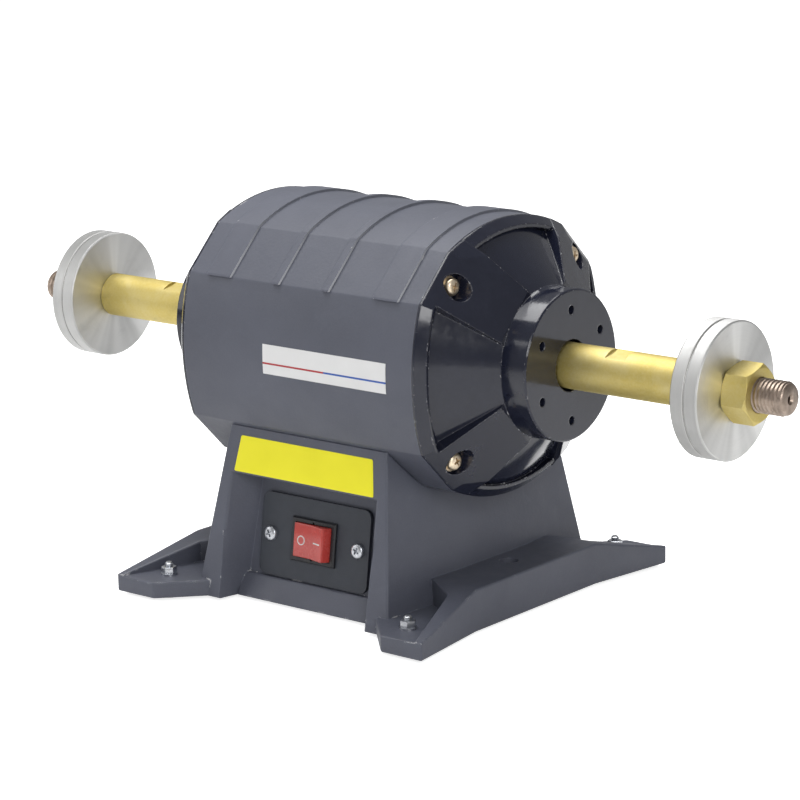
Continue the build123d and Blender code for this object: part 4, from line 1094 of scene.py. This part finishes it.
class GRINDER_OT_inner_works(Operator):
    """Finish what is inside the machine and under it."""

    bl_idname = "grinder.inner_works"
    bl_label = "Inner Works"

    ball_count = 8

    def balls(self, side, steel):
        """Closed balls between the rings of one bearing."""
        node = "bearing_balls_" + side
        low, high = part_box(node)
        radius = (high.x - low.x) / 2
        pitch = (high.y - low.y) / 2 - radius
        bm = bmesh.new()
        for step in range(self.ball_count):
            angle = step * FULL_TURN / self.ball_count
            place = (low + high) / 2 + pitch * Vector((0, math.cos(angle), math.sin(angle)))
            bmesh.ops.create_uvsphere(
                bm, u_segments=24, v_segments=16, radius=radius, matrix=Matrix.Translation(place),
            )
        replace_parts(piece(node + "_closed", bm, "stand", steel), node)

    def execute(self, context):
        steel = plated("ground_steel", (0.60, 0.60, 0.62), 0.16)
        for side in ("left", "right"):
            coat(steel, "bearing_outer_ring_" + side, "bearing_inner_ring_" + side)
            self.balls(side, steel)
        coat(steel, "wave_washer")
        coat(stacked_sheets(), "rotor_core", "stator_core")
        coat(plated("cast_cage", (0.62, 0.62, 0.64), 0.42), "rotor_cage")
        coat(enamelled_wire(), "stator_winding")
        zinc = plated("inner_zinc", colours().zinc, 0.28)
        coat(zinc, "bottom_cover_screws", "housing_bolts", "clamp_screw")
        coat(plated("zinc_sheet", (0.52, 0.53, 0.55), 0.36), "bottom_cover", "capacitor_clamp")
        coat(plated("drawn_can", (0.58, 0.58, 0.59), 0.32), "capacitor")
        gland = moulded("gland_plastic", (0.03, 0.031, 0.036), 0.46, 0.1)
        coat(gland, "cable_gland", "gland_cap", "gland_lock_nut")
        return {"FINISHED"}


class GRINDER_OT_stage(Operator):
    """Set the camera, the soft light and a white floor."""

    bl_idname = "grinder.stage"
    bl_label = "Stage"

    def camera(self, stage):
        """Camera at the photo's angle, turned about its line of sight."""
        turn, rise, roll = stage.azimuth, stage.elevation, stage.roll
        ahead = Vector((math.sin(turn), -math.cos(turn), 0))
        back = ahead * math.cos(rise) + Vector((0, 0, math.sin(rise)))
        level = Vector((math.cos(turn), math.sin(turn), 0))
        upright = back.cross(level)
        right = level * math.cos(roll) + upright * math.sin(roll)
        up = upright * math.cos(roll) - level * math.sin(roll)
        data = bpy.data.cameras.new("photo_camera")
        data.lens = stage.lens
        data.sensor_width = 36.0
        data.clip_start = 0.05
        data.clip_end = 100.0
        made = bpy.data.objects.new("photo_camera", data)
        place = Matrix((right, up, back)).transposed().to_4x4()
        place.translation = Vector(stage.target) + back * stage.distance
        made.matrix_world = place
        bpy.context.scene.collection.objects.link(made)
        bpy.context.scene.camera = made

    def lamp(self, name, power, across, place, target):
        """Soft rectangular lamp that points at a target."""
        data = bpy.data.lights.new(name, "AREA")
        data.shape = "RECTANGLE"
        data.size, data.size_y = across
        data.energy = power
        made = bpy.data.objects.new(name, data)
        made.location = place
        made.rotation_euler = (Vector(target) - Vector(place)).to_track_quat("-Z", "Y").to_euler()
        bpy.context.scene.collection.objects.link(made)

    def seen_light(self, tree, direct, reflected):
        """Strength that the camera sees, and a lower one that metal and glass reflect."""
        path = tree.nodes.new("ShaderNodeLightPath")
        either = tree.nodes.new("ShaderNodeMath")
        either.operation = "MAXIMUM"
        tree.links.new(path.outputs["Is Glossy Ray"], either.inputs[0])
        tree.links.new(path.outputs["Is Transmission Ray"], either.inputs[1])
        mirrored = tree.nodes.new("ShaderNodeMath")
        mirrored.operation = "MULTIPLY"
        mirrored.inputs[1].default_value = reflected
        tree.links.new(either.outputs[0], mirrored.inputs[0])
        total = tree.nodes.new("ShaderNodeMath")
        total.operation = "MULTIPLY_ADD"
        total.inputs[1].default_value = direct
        tree.links.new(path.outputs["Is Camera Ray"], total.inputs[0])
        tree.links.new(mirrored.outputs[0], total.inputs[2])
        return total.outputs[0]

    def world(self, stage):
        """Even light all round, and white where the camera looks past the machine."""
        made = bpy.data.worlds.new("soft_room")
        bpy.context.scene.world = made
        made.use_nodes = True
        tree = made.node_tree
        ground = tree.nodes["Background"]
        ground.inputs["Color"].default_value = (1, 1, 1, 1)
        ground.inputs["Strength"].default_value = stage.room
        bright = tree.nodes.new("ShaderNodeBackground")
        bright.inputs["Color"].default_value = (1, 1, 1, 1)
        bright.inputs["Strength"].default_value = 1.0
        path = tree.nodes.new("ShaderNodeLightPath")
        mix = tree.nodes.new("ShaderNodeMixShader")
        tree.links.new(path.outputs["Is Camera Ray"], mix.inputs["Fac"])
        tree.links.new(ground.outputs[0], mix.inputs[1])
        tree.links.new(bright.outputs[0], mix.inputs[2])
        tree.links.new(mix.outputs[0], tree.nodes["World Output"].inputs["Surface"])

    def floor(self):
        """Pale floor just under the feet."""
        bm = bmesh.new()
        bmesh.ops.create_grid(bm, x_segments=1, y_segments=1, size=12.0)
        bmesh.ops.translate(bm, verts=bm.verts, vec=(0, 0, -0.2 * MM))
        mesh = bpy.data.meshes.new("floor")
        bm.to_mesh(mesh)
        bm.free()
        material = bpy.data.materials.new("pale_floor")
        material.use_nodes = True
        tree = material.node_tree
        shader = tree.nodes["Principled BSDF"]
        shader.inputs["Base Color"].default_value = (0.86, 0.86, 0.86, 1)
        shader.inputs["Roughness"].default_value = 0.9
        shader.inputs["Specular IOR Level"].default_value = 0.1
        shader.inputs["Emission Color"].default_value = (1, 1, 1, 1)
        tree.links.new(self.seen_light(tree, 0.80, 0.22), shader.inputs["Emission Strength"])
        mesh.materials.append(material)
        made = bpy.data.objects.new("floor", mesh)
        bpy.context.scene.collection.objects.link(made)

    def execute(self, context):
        stage = context.scene.grinder_stage
        context.scene.view_settings.view_transform = "Standard"
        self.camera(stage)
        self.world(stage)
        self.floor()
        middle = (0, 0, 0.12)
        self.lamp("overhead_soft_light", stage.key_power, (1.4, 1.0), (-0.35, 0.15, 1.5), middle)
        self.lamp("front_soft_light", stage.fill_power, (0.9, 0.9), (-1.35, -1.05, 0.75), middle)
        self.lamp("side_soft_light", stage.side_power, (0.7, 0.9), (1.4, -1.1, 0.95), middle)
        return {"FINISHED"}


PIECES = (
    GRINDER_OT_stage,
    GRINDER_OT_castings,
    GRINDER_OT_end_bells,
    GRINDER_OT_spindle,
    GRINDER_OT_bell_screws,
    GRINDER_OT_switch,
    GRINDER_OT_feet,
    GRINDER_OT_stickers,
    GRINDER_OT_inner_works,
)


class GRINDER_PT_sidebar(Panel):
    """Sizes, colours and the steps that dress the machine."""

    bl_idname = "GRINDER_PT_sidebar"
    bl_label = "Bench Grinder"
    bl_space_type = "VIEW_3D"
    bl_region_type = "UI"
    bl_category = "Grinder"

    def draw(self, context):
        layout = self.layout
        scene = context.scene
        for group in (scene.grinder_sizes, scene.grinder_colours, scene.grinder_stage):
            box = layout.box()
            for key in group.__annotations__:
                box.prop(group, key)
        for step in PIECES:
            layout.operator(step.bl_idname)


CLASSES = (GrinderSizes, GrinderColours, GrinderStage) + PIECES + (GRINDER_PT_sidebar,)


def register():
    for part in CLASSES:
        bpy.utils.register_class(part)
    bpy.types.Scene.grinder_sizes = PointerProperty(type=GrinderSizes)
    bpy.types.Scene.grinder_colours = PointerProperty(type=GrinderColours)
    bpy.types.Scene.grinder_stage = PointerProperty(type=GrinderStage)


def unregister():
    del bpy.types.Scene.grinder_stage
    del bpy.types.Scene.grinder_colours
    del bpy.types.Scene.grinder_sizes
    for part in reversed(CLASSES):
        bpy.utils.unregister_class(part)


def main():
    register()
    bpy.ops.grinder.stage()
    bpy.ops.grinder.castings()
    bpy.ops.grinder.end_bells()
    bpy.ops.grinder.spindle()
    bpy.ops.grinder.bell_screws()
    bpy.ops.grinder.switch()
    bpy.ops.grinder.feet()
    bpy.ops.grinder.stickers()
    bpy.ops.grinder.inner_works()


if __name__ == "__main__":
    main()
